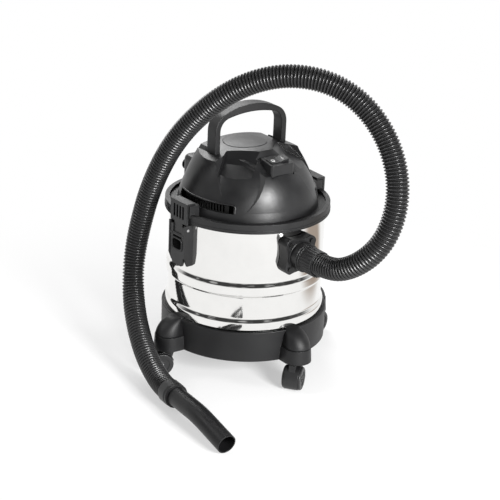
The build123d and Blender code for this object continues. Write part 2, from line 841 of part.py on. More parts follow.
pocket_width = handle_thickness + 2 * side_gap
pocket_wall = handle_half_width - pocket_width / 2
pocket_floor = handle_pivot_height - handle_depth / 2 - side_gap
pocket_front = handle_set_back - handle_depth / 2 - side_gap
pocket_rear = handle_set_back + pocket_length


def crown_outline(reach, inset):
    """Outline of the crown at its top: a bowed front between two straight-sided ears."""
    shoulder = pocket_wall - inset
    ear_front = pocket_front - crown_ear_front + inset
    front = inset - crown_front
    rear = crown_rear - inset
    rear_end = crown_rear_end - inset
    with BuildSketch(Plane.XY.offset(crown_top)) as outline:
        with BuildLine():
            ThreePointArc((-shoulder, ear_front), (0, front), (shoulder, ear_front))
            Polyline((shoulder, ear_front), (reach, ear_front), (reach, rear_end))
            ThreePointArc((reach, rear_end), (0, rear), (-reach, rear_end))
            Polyline((-reach, rear_end), (-reach, ear_front), (-shoulder, ear_front))
        make_face()
    return outline.sketch


def keep_crown(low, high):
    """Keep what lies between two levels that arch over the crown."""
    side = 2 * crown_half_length
    bow = crown_end_drop * side**2 / crown_half_length**2
    bottom = crown_top + low
    top = crown_top + high
    with BuildSketch(Plane.XZ) as band:
        with BuildLine():
            ThreePointArc((-side, bottom - bow), (0, bottom), (side, bottom - bow))
            Line((side, bottom - bow), (side, top - bow))
            ThreePointArc((side, top - bow), (0, top), (-side, top - bow))
            Line((-side, top - bow), (-side, bottom - bow))
        make_face()
    extrude(band.sketch, amount=3 * crown_rear, both=True, mode=Mode.INTERSECT)


def panel_slab(radius, low, high):
    """Round slab of the crown between two arched levels."""
    with BuildPart() as slab:
        with BuildSketch(Plane.XY.offset(crown_top)):
            with Locations((0, panel_set_back)):
                Circle(radius)
        extrude(amount=crown_depth, both=True)
        keep_crown(low, high)
    return slab.part


def cut_pockets(inset):
    """Cut the two handle pockets, grown by inset: from in front of the pivot to the rear."""
    for hand in (1, -1):
        with BuildSketch(Plane.YZ.offset(hand * (pocket_wall - inset))) as pocket:
            with BuildLine():
                Polyline(
                    (pocket_front - inset, pocket_floor - inset),
                    (pocket_rear + inset, pocket_floor - inset),
                    (pocket_rear + inset, handle_top),
                    (pocket_front - inset, handle_top),
                    close=True,
                )
            make_face()
        extrude(pocket.sketch, amount=hand * (pocket_width + 2 * inset), mode=Mode.SUBTRACT)


with BuildPart() as crown_block:
    extrude(crown_outline(crown_half_length, 0), amount=-2 * crown_depth, taper=-crown_draft)
    keep_crown(-crown_depth, 0)
    flank = (dome_radius - crown_flank[0], deck_top + crown_flank[1])
    with BuildSketch(Plane.XZ) as limit:
        with BuildLine():
            Polyline(flank, (flank[0] - crown_flank_lean, crown_top), (0, crown_top))
            Polyline((0, crown_top), (0, deck_top), (dome_radius, deck_top))
            ThreePointArc((dome_radius, deck_top), (dome_waist_radius, deck_top + dome_waist_rise), flank)
        make_face()
    revolve(limit.sketch, axis=Axis.Z, mode=Mode.INTERSECT)

with BuildPart() as crown_room:
    extrude(crown_outline(pocket_wall - crown_end_wall, crown_border), amount=-2 * crown_depth)
    keep_crown(-crown_depth, -dome_wall - panel_sink)

boss_places = PolarLocations(boss_circle, 4, start_angle=45).locations
with BuildPart() as dome_room:
    revolve(dome_section(dome_wall), axis=Axis.Z)
    add(crown_room.part)
    cut_notches(dome_wall)
    add(round_prow(dome_wall))
    cut_pockets(dome_wall)
    with BuildSketch(Plane.XY.offset(deck_top)):
        with Locations(*boss_places):
            Circle(boss_radius)
    extrude(amount=dome_cap_rise, mode=Mode.SUBTRACT)

with BuildPart() as rear_port:
    with BuildSketch(Plane.XY.offset(deck_top + port_foot_rise)):
        with Locations((0, (port_root + port_reach) / 2)):
            RectangleRounded(2 * port_half_width, port_reach - port_root, port_corner)
    extrude(amount=port_rise - port_foot_rise)
    fillet(rear_port.faces().sort_by(Axis.Z)[-1].edges(), port_edge)

port_face = facing(90, port_reach, deck_top + port_axis_rise)
slot_spread = slot_to - slot_from
slot_starts = {"left": slot_from, "right": 180 - slot_to}
with BuildPart() as dome_cover:
    revolve(dome_section(0), axis=Axis.Z)
    add(crown_block.part)
    cut_notches(0)
    add(round_prow(0))
    add(rear_port.part)
    cut_pockets(0)
    add(panel_slab(panel_radius, -panel_sink, crown_depth), mode=Mode.SUBTRACT)
    add(dome_room.part, mode=Mode.SUBTRACT)
    with BuildSketch(port_face):
        Circle(port_bore_radius)
        with Locations((gland_offset, 0)):
            Circle(gland_radius + seat_gap)
    extrude(amount=port_root - port_reach, mode=Mode.SUBTRACT)
    for start in slot_starts.values():
        with BuildSketch(Plane.XY.offset(deck_top + slot_rise)):
            with BuildLine():
                outer = CenterArc((0, 0), dome_radius * 1.1, start, slot_spread)
                inner = CenterArc((0, 0), dome_radius * 0.85, start, slot_spread)
                Line(outer @ 0, inner @ 0)
                Line(outer @ 1, inner @ 1)
            make_face()
        extrude(amount=slot_height, mode=Mode.SUBTRACT)
    with BuildSketch(Plane.XY.offset(deck_top + dome_waist_rise)):
        with Locations((0, -(switch_near + switch_far) / 2)):
            Rectangle(2 * switch_half_width + slide_gap, switch_far - switch_near + slide_gap)
    extrude(amount=dome_cap_rise, mode=Mode.SUBTRACT)
    for hand in (1, -1):
        with BuildSketch(Plane.YZ.offset(hand * (pocket_wall - handle_pin_depth - seat_gap))):
            with Locations((handle_set_back, handle_pivot_height)):
                Circle(handle_pin_radius + running_fit)
        extrude(amount=hand * (pocket_width + 2 * handle_pin_depth + 2 * seat_gap), mode=Mode.SUBTRACT)
    with BuildSketch(Plane.XY.offset(deck_top)):
        with Locations(*boss_places):
            Circle(screw_radius)
    extrude(amount=head_screw_length, mode=Mode.SUBTRACT)
save(dome_cover, "dome_cover")

with BuildPart() as top_panel:
    add(panel_slab(panel_radius - slide_gap, seat_gap - panel_sink, panel_stand))
save(top_panel, "top_panel")

with BuildPart() as vent_grilles:
    grille_spread = slot_spread - grille_clear
    for hand, start in slot_starts.items():
        grille_start = start if hand == "left" else start + grille_clear
        with BuildSketch(Plane.XY.offset(deck_top)):
            with BuildLine():
                outer = CenterArc((0, 0), grille_radius, grille_start, grille_spread)
                inner = CenterArc((0, 0), grille_radius - grille_wall, grille_start, grille_spread)
                Line(outer @ 0, inner @ 0)
                Line(outer @ 1, inner @ 1)
            make_face()
        extrude(amount=grille_height)
        gap_count = int(grille_spread / grille_bar_pitch) - 1
        with BuildSketch(Plane.XY.offset(deck_top + slot_rise - grille_gap_margin)):
            with PolarLocations(
                grille_radius,
                gap_count,
                start_angle=grille_start + grille_bar_pitch,
                angular_range=(gap_count - 1) * grille_bar_pitch,
                endpoint=True,
            ):
                Rectangle(4 * grille_wall, grille_bar_gap)
        extrude(amount=slot_height + 2 * grille_gap_margin, mode=Mode.SUBTRACT)
save(vent_grilles, "vent_grilles")

with BuildPart() as cable_gland:
    with BuildSketch(port_face):
        with Locations((gland_offset, 0)):
            Circle(gland_radius)
    extrude(amount=-gland_length)
    with BuildSketch(port_face.offset(seat_gap)):
        with Locations((gland_offset, 0)):
            Circle(gland_flange_radius)
    extrude(amount=gland_flange)
    with BuildSketch(port_face):
        with Locations((gland_offset, 0)):
            Circle(gland_radius)
    extrude(amount=gland_flange)
    with BuildSketch(port_face):
        with Locations((gland_offset, 0)):
            Circle(gland_bore_radius)
    extrude(amount=gland_length, both=True, mode=Mode.SUBTRACT)
save(cable_gland, "cable_gland")

with BuildPart() as head_screws:
    with BuildSketch(Plane.XY.offset(deck_under)):
        with Locations(*boss_places):
            Circle(screw_head_radius)
    extrude(amount=-screw_head_height)
    with BuildSketch(Plane.XY.offset(deck_under)):
        with Locations(*boss_places):
            Circle(screw_radius - seat_gap)
    extrude(amount=head_screw_length)
save(head_screws, "head_screws")

# Switch: sloping housing and a rocker that tips from 0 to I
switch_middle = (switch_near + switch_far) / 2
switch_slope = Vector(0, switch_far - switch_near, switch_back_rise - switch_front_rise).normalized()
switch_centre = Vector(0, -switch_middle, deck_top + (switch_back_rise + switch_front_rise) / 2)
switch_top = Plane(origin=switch_centre, x_dir=(1, 0, 0), z_dir=Vector(1, 0, 0).cross(switch_slope))
rocker_hinge = switch_centre - switch_top.z_dir * rocker_sink
hinge_plane = Plane(origin=rocker_hinge, x_dir=(1, 0, 0), z_dir=-switch_slope)

with BuildPart() as switch_housing:
    with BuildSketch(Plane.YZ):
        with BuildLine():
            Polyline(
                (-switch_far, deck_top + switch_front_rise - switch_depth),
                (-switch_near, deck_top + switch_front_rise - switch_depth),
                (-switch_near, deck_top + switch_back_rise),
                (-switch_far, deck_top + switch_front_rise),
                close=True,
            )
        make_face()
    extrude(amount=switch_half_width, both=True)
    fillet(switch_housing.edges().filter_by(Axis.Z), switch_corner)
    with BuildSketch(switch_top):
        Rectangle(2 * (rocker_half_length + rocker_end_gap), 2 * (rocker_half_width + slide_gap))
    extrude(amount=-rocker_well, mode=Mode.SUBTRACT)
    with BuildSketch(hinge_plane):
        Circle(rocker_pin_radius + running_fit)
    extrude(amount=rocker_half_width + rocker_pin_depth + slide_gap, both=True, mode=Mode.SUBTRACT)
save(switch_housing, "switch_housing")

tilt = radians(rocker_tilt)
rocker_along = Vector(1, 0, 0) * cos(tilt) + switch_top.z_dir * sin(tilt)
rocker_plane = Plane(origin=rocker_hinge, x_dir=rocker_along, z_dir=-switch_slope)
with BuildPart() as switch_rocker:
    with BuildSketch(rocker_plane):
        with BuildLine():
            Polyline(
                (-rocker_half_length, rocker_end_rise),
                (0, rocker_middle_rise),
                (rocker_half_length, rocker_end_rise),
                (rocker_half_length, 0),
                (rocker_half_length / 2, -rocker_keel),
                (-rocker_half_length / 2, -rocker_keel),
                (-rocker_half_length, 0),
                close=True,
            )
        make_face()
    extrude(amount=rocker_half_width, both=True)
    with BuildSketch(rocker_plane):
        Circle(rocker_pin_radius)
    extrude(amount=rocker_half_width + rocker_pin_depth, both=True)
save(switch_rocker, "switch_rocker")

# Folding carry handle and the pins it turns on
with BuildPart() as handle:
    leg_outer = handle_half_width + handle_thickness / 2
    leg_inner = handle_half_width - handle_thickness / 2
    grip_under = handle_top - grip_thickness
    for reach, height, bow, corner, depth, mode in (
        (leg_outer, handle_top, handle_bow, handle_corner, handle_depth / 2, Mode.ADD),
        (leg_inner, grip_under, grip_bow, grip_corner, handle_depth, Mode.SUBTRACT),
    ):
        shoulder = height - bow
        with BuildSketch(Plane.XZ.offset(-handle_set_back)) as arch:
            with BuildLine():
                Polyline((-reach, shoulder), (-reach, handle_pivot_height), (reach, handle_pivot_height))
                Line((reach, handle_pivot_height), (reach, shoulder))
                ThreePointArc((reach, shoulder), (0, height), (-reach, shoulder))
            make_face()
            fillet(arch.vertices().group_by(Axis.Y)[-1], corner)
        extrude(amount=depth, both=True, mode=mode)
    for hand in (1, -1):
        with BuildSketch(Plane.YZ.offset(hand * leg_inner)):
            with Locations((handle_set_back, handle_pivot_height)):
                Circle(handle_depth / 2)
        extrude(amount=hand * handle_thickness)
    with BuildSketch(Plane.YZ):
        with Locations((handle_set_back, handle_pivot_height)):
            Circle(handle_pin_radius + running_fit)
    extrude(amount=2 * handle_half_width, both=True, mode=Mode.SUBTRACT)
save(handle, "handle")

with BuildPart() as handle_pins:
    for hand in (1, -1):
        with BuildSketch(Plane.YZ.offset(hand * (pocket_wall - handle_pin_depth))):
            with Locations((handle_set_back, handle_pivot_height)):
                Circle(handle_pin_radius)
        extrude(amount=hand * (pocket_width + 2 * handle_pin_depth))
save(handle_pins, "handle_pins")

# Latches: riveted bracket, lever, hook over the lid's keeper, and their pins
bracket_top = deck_under - bracket_top_drop
bracket_bottom = bracket_top - bracket_height
bracket_back = drum_radius + latch_plate
cheek_inner = latch_half_width - latch_cheek
lever_half_width = cheek_inner - side_gap
lever_inner = latch_pivot_radius + latch_shift
lever_top = latch_pivot_height + lever_barrel_radius
pivot_spot = (latch_pivot_radius, latch_pivot_height)
hook_spot = (latch_pivot_radius + hook_out, latch_pivot_height - hook_drop)
hook_inner = lid_radius + hook_stand
hook_foot = bracket_top + hook_foot_gap
hook_top = keeper_top + slide_gap
arm_width = lever_half_width - lever_fork_half_width
for side, turn in latch_turns.items():
    middle = upright(turn)

    with BuildPart() as bracket:
        with BuildSketch(middle):
            with Locations((bracket_back - latch_depth / 2, (bracket_top + bracket_bottom) / 2)):
                Rectangle(latch_depth, bracket_height)
        extrude(amount=latch_half_width, both=True)
        for hand in (1, -1):
            with BuildSketch(middle.offset(hand * cheek_inner)):
                with BuildLine():
                    Polyline(
                        (drum_radius - latch_depth, bracket_bottom),
                        (drum_radius + latch_depth * 0.6, bracket_bottom),
                        (drum_radius + latch_depth, bracket_bottom + latch_depth),
                        (drum_radius + latch_depth, bracket_top),
                        (drum_radius - latch_depth, bracket_top),
                        close=True,
                    )
                make_face()
            extrude(amount=hand * latch_cheek)
        with BuildSketch(middle):
            with Locations(pivot_spot):
                Circle(latch_pin_radius + running_fit)
        extrude(amount=latch_half_width, both=True, mode=Mode.SUBTRACT)
        with Locations((0, 0, bracket_top)):
            Cylinder(drum_radius + seat_gap, 3 * bracket_height, mode=Mode.SUBTRACT)
        with BuildSketch(facing(turn, drum_radius + latch_depth, rivet_height)):
            with GridLocations(rivet_spacing, 0, 2, 1):
                Circle(rivet_radius + seat_gap)
        extrude(amount=-3 * latch_depth, mode=Mode.SUBTRACT)
    save(bracket, f"latch_{side}_bracket")

    with BuildPart() as lever:
        with BuildSketch(facing(turn, lever_inner, lever_top)):
            with BuildLine():
                Polyline(
                    (-lever_half_width, 0),
                    (-lever_half_width, lever_tab_radius - lever_length),
                    (-lever_tab_half_width, -lever_length),
                    (lever_tab_half_width, -lever_length),
                    (lever_half_width, lever_tab_radius - lever_length),
                    (lever_half_width, 0),
                    close=True,
                )
            make_face()
            with Locations((0, 0)):
                Rectangle(2 * lever_fork_half_width, 2 * lever_fork_depth, mode=Mode.SUBTRACT)
        extrude(amount=lever_thickness)
        for hand in (1, -1):
            with BuildSketch(middle.offset(hand * lever_fork_half_width)):
                with Locations(pivot_spot):
                    Circle(lever_barrel_radius)
                with Locations(hook_spot):
                    Circle(hook_eye_radius)
            extrude(amount=hand * arm_width)
        with BuildSketch(middle):
            with Locations(pivot_spot):
                Circle(latch_pin_radius + running_fit)
            with Locations(hook_spot):
                Circle(hook_pin_radius + running_fit)
        extrude(amount=latch_half_width, both=True, mode=Mode.SUBTRACT)
    save(lever, f"latch_{side}_lever")

    with BuildPart() as hook:
        with BuildSketch(facing(turn, hook_inner)):
            with Locations((0, (hook_foot + hook_top + hook_thickness) / 2)):
                Rectangle(2 * latch_half_width, hook_top + hook_thickness - hook_foot)
            with Locations((0, (hook_foot + hook_spot[1]) / 2)):
                Rectangle(2 * hook_tongue_half_width, hook_foot - hook_spot[1])
            with Locations((0, hook_foot + hook_slot_rise + hook_slot_height / 2)):
                with GridLocations(hook_slot_pitch, 0, hook_slot_count, 1):
                    SlotOverall(hook_slot_height, hook_slot_width, rotation=90, mode=Mode.SUBTRACT)
        extrude(amount=hook_thickness)
        with BuildSketch(middle):
            with Locations(hook_spot):
                Circle(hook_eye_radius)
        extrude(amount=hook_tongue_half_width, both=True)
        with BuildSketch(middle):
            with Locations((hook_inner - hook_reach / 2, hook_top + hook_thickness / 2)):
                Rectangle(hook_reach, hook_thickness)
        extrude(amount=latch_half_width, both=True)
        with BuildSketch(middle):
            with Locations(hook_spot):
                Circle(hook_pin_radius + running_fit)
        extrude(amount=latch_half_width, both=True, mode=Mode.SUBTRACT)
    save(hook, f"latch_{side}_hook")

    with BuildPart() as pivot_pins:
        for hand in (1, -1):
            with BuildSketch(middle.offset(hand * lever_fork_half_width)):
                with Locations(pivot_spot):
                    Circle(latch_pin_radius)
            extrude(amount=hand * (latch_half_width - lever_fork_half_width))
    save(pivot_pins, f"latch_{side}_pivot_pins")

    with BuildPart() as hook_pin:
        with BuildSketch(middle):
            with Locations(hook_spot):
                Circle(hook_pin_radius)
        extrude(amount=lever_half_width, both=True)
    save(hook_pin, f"latch_{side}_hook_pin")

with BuildPart() as latch_rivets:
    for turn in latch_turns.values():
        rivet_outside = facing(turn, bracket_back, rivet_height)
        rivet_inside = facing(turn, rivet_tail_radius, rivet_height)
        for plane, radius, length in (
            (rivet_outside, rivet_head_radius, rivet_head_height),
            (rivet_outside, rivet_radius, rivet_tail_radius - bracket_back),
            (rivet_inside, rivet_head_radius, -rivet_head_height),
        ):
            with BuildSketch(plane):
                with GridLocations(rivet_spacing, 0, 2, 1):
                    Circle(radius)
            extrude(amount=length)
save(latch_rivets, "latch_rivets")

# Motor and fan inside the head
shroud_top = deck_top + shroud_height
can_bottom = shroud_top + shroud_wall
can_top = can_bottom + can_height
lower_bearing = can_bottom - bearing_height
upper_bearing = can_top - can_wall
with BuildPart() as fan_shroud:
    ring(shroud_radius, shroud_radius - shroud_wall, deck_top, shroud_height)
    ring(shroud_radius, bearing_radius + seat_gap, shroud_top, shroud_wall)
    ring(bearing_radius + shroud_wall, bearing_radius + seat_gap, lower_bearing, bearing_height)
    with BuildSketch(Plane.XY.offset(deck_top + (shroud_height - shroud_window_height) / 2)):
        with PolarLocations(shroud_radius, shroud_window_count):
            Rectangle(4 * shroud_wall, shroud_window_width)
    extrude(amount=shroud_window_height, mode=Mode.SUBTRACT)
save(fan_shroud, "fan_shroud")

with BuildPart() as motor_can:
    ring(can_radius, can_radius - can_wall, can_bottom, can_height)
    ring(can_radius, bearing_radius + seat_gap, can_top - can_wall, can_wall)
    ring(bearing_radius + can_wall, bearing_radius + seat_gap, can_top - can_wall, bearing_height)
    with BuildSketch(Plane.XY.offset(can_top - can_wall)):
        with PolarLocations(can_radius * 0.62, can_vent_count):
            SlotOverall(can_vent_length, can_vent_width)
    extrude(amount=can_wall, mode=Mode.SUBTRACT)
save(motor_can, "motor_can")

with BuildPart() as motor_field:
    field_radius = can_radius - can_wall - seat_gap
    ring(field_radius, field_radius - field_width, can_bottom + field_rise, field_height)
save(motor_field, "motor_field")

with BuildPart() as motor_armature:
    shaft_bottom = deck_top + shaft_rise
    core_bottom = can_bottom + field_rise + (field_height - core_height) / 2
    for radius, bottom, top in (
        (shaft_radius, shaft_bottom, upper_bearing + bearing_height),
        (core_radius, core_bottom, core_bottom + core_height),
        (commutator_radius, core_bottom, core_bottom + core_height + commutator_height),
    ):
        with BuildSketch(Plane.XY.offset(bottom)):
            Circle(radius)
        extrude(amount=top - bottom)
    with BuildSketch(Plane.XY.offset(core_bottom)):
        with PolarLocations(core_radius, core_slot_count):
            Rectangle(2 * core_slot_depth, core_slot_width)
    extrude(amount=core_height, mode=Mode.SUBTRACT)
save(motor_armature, "motor_armature")

with BuildPart() as motor_bearings:
    for bottom in (lower_bearing, upper_bearing):
        ring(bearing_radius, shaft_radius + running_fit, bottom, bearing_height)
save(motor_bearings, "motor_bearings")

with BuildPart() as fan_impeller:
    fan_bottom = deck_top + fan_rise
    ring(fan_hub_radius, shaft_radius + seat_gap, fan_bottom, fan_blade_height + fan_plate)
    ring(fan_radius, fan_hub_radius - seat_gap, fan_bottom + fan_blade_height, fan_plate)
    blade_inner = fan_hub_radius + 2 * fan_plate
    with BuildSketch(Plane.XY.offset(fan_bottom)):
        with PolarLocations((fan_radius + blade_inner) / 2, fan_blade_count):
            Rectangle(fan_radius - blade_inner - fan_plate, fan_blade_width, rotation=fan_blade_turn)
    extrude(amount=fan_blade_height)
save(fan_impeller, "fan_impeller")

# Filter cage under the deck, its foam sleeve and the float that shuts off suction
cage_top = deck_under - seat_gap
cage_bottom = deck_under - cage_height
with BuildPart() as filter_cage:
    ring(cage_radius, cage_radius - cage_wall, cage_bottom, cage_top - cage_bottom)
    ring(cage_flange_radius, cage_radius - cage_wall, cage_top - cage_wall, cage_wall)
    ring(cage_radius - cage_wall / 2, float_seat_radius, cage_top - 2 * cage_wall, cage_wall)
    ring(cage_radius - cage_wall / 2, cage_drain_radius, cage_bottom, cage_wall)
    with BuildSketch(Plane.XY.offset(cage_bottom + cage_window_rise)):
        with PolarLocations(cage_radius, cage_window_count):
            Rectangle(4 * cage_wall, cage_window_width)
    extrude(amount=cage_window_height, mode=Mode.SUBTRACT)
save(filter_cage, "filter_cage")

with BuildPart() as foam_sleeve:
    foam_inner = cage_radius + slide_gap
    ring(foam_inner + foam_thickness, foam_inner, cage_bottom, cage_height - 2 * cage_wall)
save(foam_sleeve, "foam_sleeve")

with BuildPart() as float_ball:
    with BuildSketch(Plane.XY.offset(cage_bottom + cage_wall)):
        Circle(float_radius)
    extrude(amount=float_height)
    fillet(float_ball.edges(), float_round)
    with BuildSketch(Plane.XY.offset(cage_bottom + cage_wall)):
        Circle(float_radius - float_wall)
    extrude(amount=float_height - float_wall, mode=Mode.SUBTRACT)
save(float_ball, "float")
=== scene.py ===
# %% [markdown]
# A wet and dry shop vacuum, dressed in Blender.
# The solids come from CAD and stay where they are: this lesson gives them their finishes, and
# adds the pieces that CAD leaves plain, such as the finely ribbed hose. All sizes are in metres,
# with the floor at z = 0, the drum's axis on Z and the front of the vacuum towards -Y.

import json
from math import cos, pi, radians, sin

import bpy
import numpy as np
from mathutils import Matrix, Vector


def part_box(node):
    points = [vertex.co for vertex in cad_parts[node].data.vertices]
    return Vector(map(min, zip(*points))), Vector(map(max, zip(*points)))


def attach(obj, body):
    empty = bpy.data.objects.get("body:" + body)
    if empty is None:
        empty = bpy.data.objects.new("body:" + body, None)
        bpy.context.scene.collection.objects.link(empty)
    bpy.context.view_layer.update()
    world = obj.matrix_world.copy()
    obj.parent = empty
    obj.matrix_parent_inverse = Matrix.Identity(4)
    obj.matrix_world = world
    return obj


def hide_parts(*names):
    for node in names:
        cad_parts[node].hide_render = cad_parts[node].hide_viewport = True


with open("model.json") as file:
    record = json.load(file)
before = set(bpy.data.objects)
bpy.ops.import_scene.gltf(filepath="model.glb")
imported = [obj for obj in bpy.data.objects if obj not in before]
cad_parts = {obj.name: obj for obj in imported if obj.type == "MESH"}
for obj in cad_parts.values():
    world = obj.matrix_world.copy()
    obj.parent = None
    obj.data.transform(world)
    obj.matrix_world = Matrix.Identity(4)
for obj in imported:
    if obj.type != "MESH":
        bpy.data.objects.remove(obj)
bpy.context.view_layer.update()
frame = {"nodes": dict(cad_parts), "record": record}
nodes = frame["nodes"]

# %% [markdown]
# The camera stands where the photographer stood: 2.7 m away and a little above eye level of the
# dome, with a long lens, so that upright edges stay nearly parallel. The vacuum is turned 37
# degrees, and the horizon leans by a few degrees. Writing the three view directions down as
# vectors, and putting them into a matrix, is clearer than hunting for Euler angles.

# %% Camera
photo_side = 500  # pixels
focal_length = 1600.0  # pixels
stand_off = 2.7366
eye_height = 1.2882
side_step = 0.0081
look_down = radians(21.5915)
lean = radians(2.5041)
part_turn = radians(37.0)

level = Vector((0, 0, 1))
rightwards = Vector((cos(part_turn), -sin(part_turn), 0))
away = Vector((sin(part_turn), cos(part_turn), 0))
forward = away * cos(look_down) - level * sin(look_down)
upwards = away * sin(look_down) + level * cos(look_down)
picture_right = rightwards * cos(lean) + upwards * sin(lean)
picture_up = upwards * cos(lean) - rightwards * sin(lean)
eye = rightwards * side_step - away * stand_off + level * eye_height

camera_data = bpy.data.cameras.new("photo_camera")
camera_data.sensor_fit = "HORIZONTAL"
camera_data.lens = camera_data.sensor_width * focal_length / photo_side
camera = bpy.data.objects.new("photo_camera", camera_data)
bpy.context.collection.objects.link(camera)
turn = Matrix((picture_right, picture_up, -forward)).transposed().to_4x4()
camera.matrix_world = Matrix.Translation(eye) @ turn
bpy.context.scene.camera = camera
print("lens:", round(camera_data.lens, 1), "mm")

# %% [markdown]
# Shader maths reads best as arithmetic. `Value` wraps one socket, and adding or multiplying two
# of them adds a Math node. `Finish` is a material under construction: its method `node` makes any
# node from its type, its settings and what its sockets hold, and the other methods build on it.


# %% Small tools for finishes
class Value:
    """One output socket that Python's arithmetic can work on."""

    def __init__(self, finish, socket):
        self.finish = finish
        self.socket = socket

    def maths(self, operation, first, second):
        return self.finish.node("ShaderNodeMath", {"operation": operation}, {0: first, 1: second})

    def __add__(self, other):
        return self.maths("ADD", self, other)

    def __radd__(self, other):
        return self.maths("ADD", other, self)

    def __rsub__(self, other):
        return self.maths("SUBTRACT", other, self)

    def __mul__(self, other):
        return self.maths("MULTIPLY", self, other)

    def ramp(self, low, high, start=0.0, end=1.0):
        """Rises smoothly from start to end as the value goes from low to high."""
        limits = {0: self, 1: low, 2: high, 3: start, 4: end}
        return self.finish.node("ShaderNodeMapRange", {"interpolation_type": "SMOOTHSTEP"}, limits)


class Finish:
    """A material whose nodes are added one at a time."""

    def __init__(self, name):
        self.material = bpy.data.materials.new(name)
        self.material.use_nodes = True
        self.tree = self.material.node_tree
        self.shader = self.tree.nodes["Principled BSDF"]
        self.place = self.node("ShaderNodeTexCoord", output="Object")

    def node(self, kind, settings=None, inputs=None, output=0):
        made = self.tree.nodes.new(kind)
        for name, setting in (settings or {}).items():
            setattr(made, name, setting)
        for name, held in (inputs or {}).items():
            self.feed(made.inputs[name], held)
        return Value(self, made.outputs[output])

    def feed(self, socket, held):
        if isinstance(held, Value):
            self.tree.links.new(held.socket, socket)
        else:
            socket.default_value = held

    def shade(self, inputs):
        for name, held in inputs.items():
            self.feed(self.shader.inputs[name], held)

    def noise(self, scale, detail=2.0, roughness=0.5, place=None):
        inputs = {"Vector": place or self.place, "Scale": scale, "Detail": detail, "Roughness": roughness}
        return self.node("ShaderNodeTexNoise", None, inputs)

    def stretched(self, scale):
        """Object coordinates, stretched by a scale along each axis."""
        return self.node("ShaderNodeMapping", None, {"Vector": self.place, "Scale": scale})

    def mix(self, amount, first, second):
        """Colour that goes from the first to the second as the amount goes from 0 to 1."""
        inputs = {0: amount, 6: (*first, 1.0), 7: (*second, 1.0)}
        return self.node("ShaderNodeMix", {"data_type": "RGBA"}, inputs, 2)

    def round_edges(self, radius):
        return self.node("ShaderNodeBevel", {"samples": 6}, {"Radius": radius})

    def bump(self, height, depth, normal=None):
        inputs = {"Height": height, "Distance": depth, "Strength": 1.0}
        if normal is not None:
            inputs["Normal"] = normal
        return self.node("ShaderNodeBump", None, inputs)


def dress(finish, *names):
    """Put a finish on CAD nodes, in the material slots that they already have."""
    for name in names:
        for slot in nodes[name].material_slots:
            slot.material = finish.material


# %% [markdown]
# Most of the vacuum is black polypropylene with a fine spark-eroded grain. The colour is never
# quite even, so a slow noise varies it and the roughness together, a fine noise gives the grain,
# and the Bevel node rounds the sharp CAD edges so that they catch the light as moulded ones do.


# %% Moulded black plastic
grain_scale = 1500.0


def moulded(name, dark, light, rough, depth=0.00006, edge=0.0012, sheen=0.45):
    """Grained plastic: colour and roughness drift with a slow noise, edges are rounded."""
    finish = Finish(name)
    drift = finish.noise(22.0, 3.0)
    speck = finish.noise(grain_scale, 2.0)
    finish.shade({
        "Base Color": finish.mix(drift.ramp(0.3, 0.7), dark, light),
        "Roughness": drift.ramp(0.25, 0.75, rough - 0.05, rough + 0.06) + speck * 0.06,
        "Normal": finish.bump(speck, depth, finish.round_edges(edge)),
        "Specular IOR Level": sheen,
    })
    return finish


dome_skin = moulded("dome_skin", (0.0070, 0.0070, 0.0075), (0.0105, 0.0105, 0.011), 0.35)
lid_skin = moulded("lid_skin", (0.0070, 0.0070, 0.0075), (0.0105, 0.0105, 0.011), 0.42)
base_skin = moulded("base_skin", (0.0055, 0.0055, 0.006), (0.008, 0.008, 0.0085), 0.46, sheen=0.40)
handle_skin = moulded("handle_skin", (0.006, 0.006, 0.0065), (0.009, 0.009, 0.0095), 0.44, edge=0.0028)
latch_skin = moulded("latch_skin", (0.007, 0.007, 0.0075), (0.010, 0.010, 0.0105), 0.36, depth=0.00003)
inlet_skin = moulded("inlet_skin", (0.006, 0.006, 0.0065), (0.009, 0.009, 0.0095), 0.34, edge=0.0025)
caster_skin = moulded("caster_skin", (0.010, 0.010, 0.0105), (0.014, 0.014, 0.0145), 0.38, depth=0.00003)
wheel_skin = moulded("wheel_skin", (0.011, 0.011, 0.0115), (0.016, 0.016, 0.0165), 0.42, depth=0.00003)
nozzle_skin = moulded("nozzle_skin", (0.005, 0.005, 0.0055), (0.007, 0.007, 0.0075), 0.42, sheen=0.3)
panel_skin = moulded("panel_skin", (0.008, 0.008, 0.0085), (0.012, 0.012, 0.0125), 0.40)
band_skin = moulded("band_skin", (0.010, 0.010, 0.0105), (0.014, 0.014, 0.0145), 0.40, depth=0.00003)
grille_skin = moulded("grille_skin", (0.004, 0.004, 0.004), (0.007, 0.007, 0.007), 0.6, sheen=0.2)
# Painted shade: near-black matt plastic for the latch windows, standing in for the shade inside their
# recesses.
painted_hollow_shade = moulded("painted_hollow_shade", (0.001, 0.001, 0.001), (0.002, 0.002, 0.002), 0.8, sheen=0.05)
cage_skin = moulded("cage_skin", (0.02, 0.02, 0.021), (0.03, 0.03, 0.031), 0.5)
float_skin = moulded("float_skin", (0.70, 0.70, 0.67), (0.78, 0.78, 0.75), 0.5)

dress(dome_skin, "dome_cover", "switch_housing")
dress(lid_skin, "lid_ring")
dress(base_skin, "base_dish")
dress(handle_skin, "handle")
dress(inlet_skin, "inlet_flange", "inlet_elbow", "hose_port_cuff")
dress(nozzle_skin, "nozzle")
dress(panel_skin, "top_panel", "switch_rocker")
dress(band_skin, "nozzle_cuff")
dress(grille_skin, "vent_grilles")
dress(cage_skin, "filter_cage", "fan_shroud")
dress(float_skin, "float")
sides = ("front", "right", "rear", "left")
dress(caster_skin, *[f"caster_{side}_hood" for side in sides])
dress(wheel_skin, *[f"caster_{side}_wheels" for side in sides])
latches = [f"latch_{side}" for side in ("left", "right")]
dress(latch_skin, *[f"{latch}_{piece}" for latch in latches for piece in ("bracket", "lever", "hook")])
print("plastic finishes done")

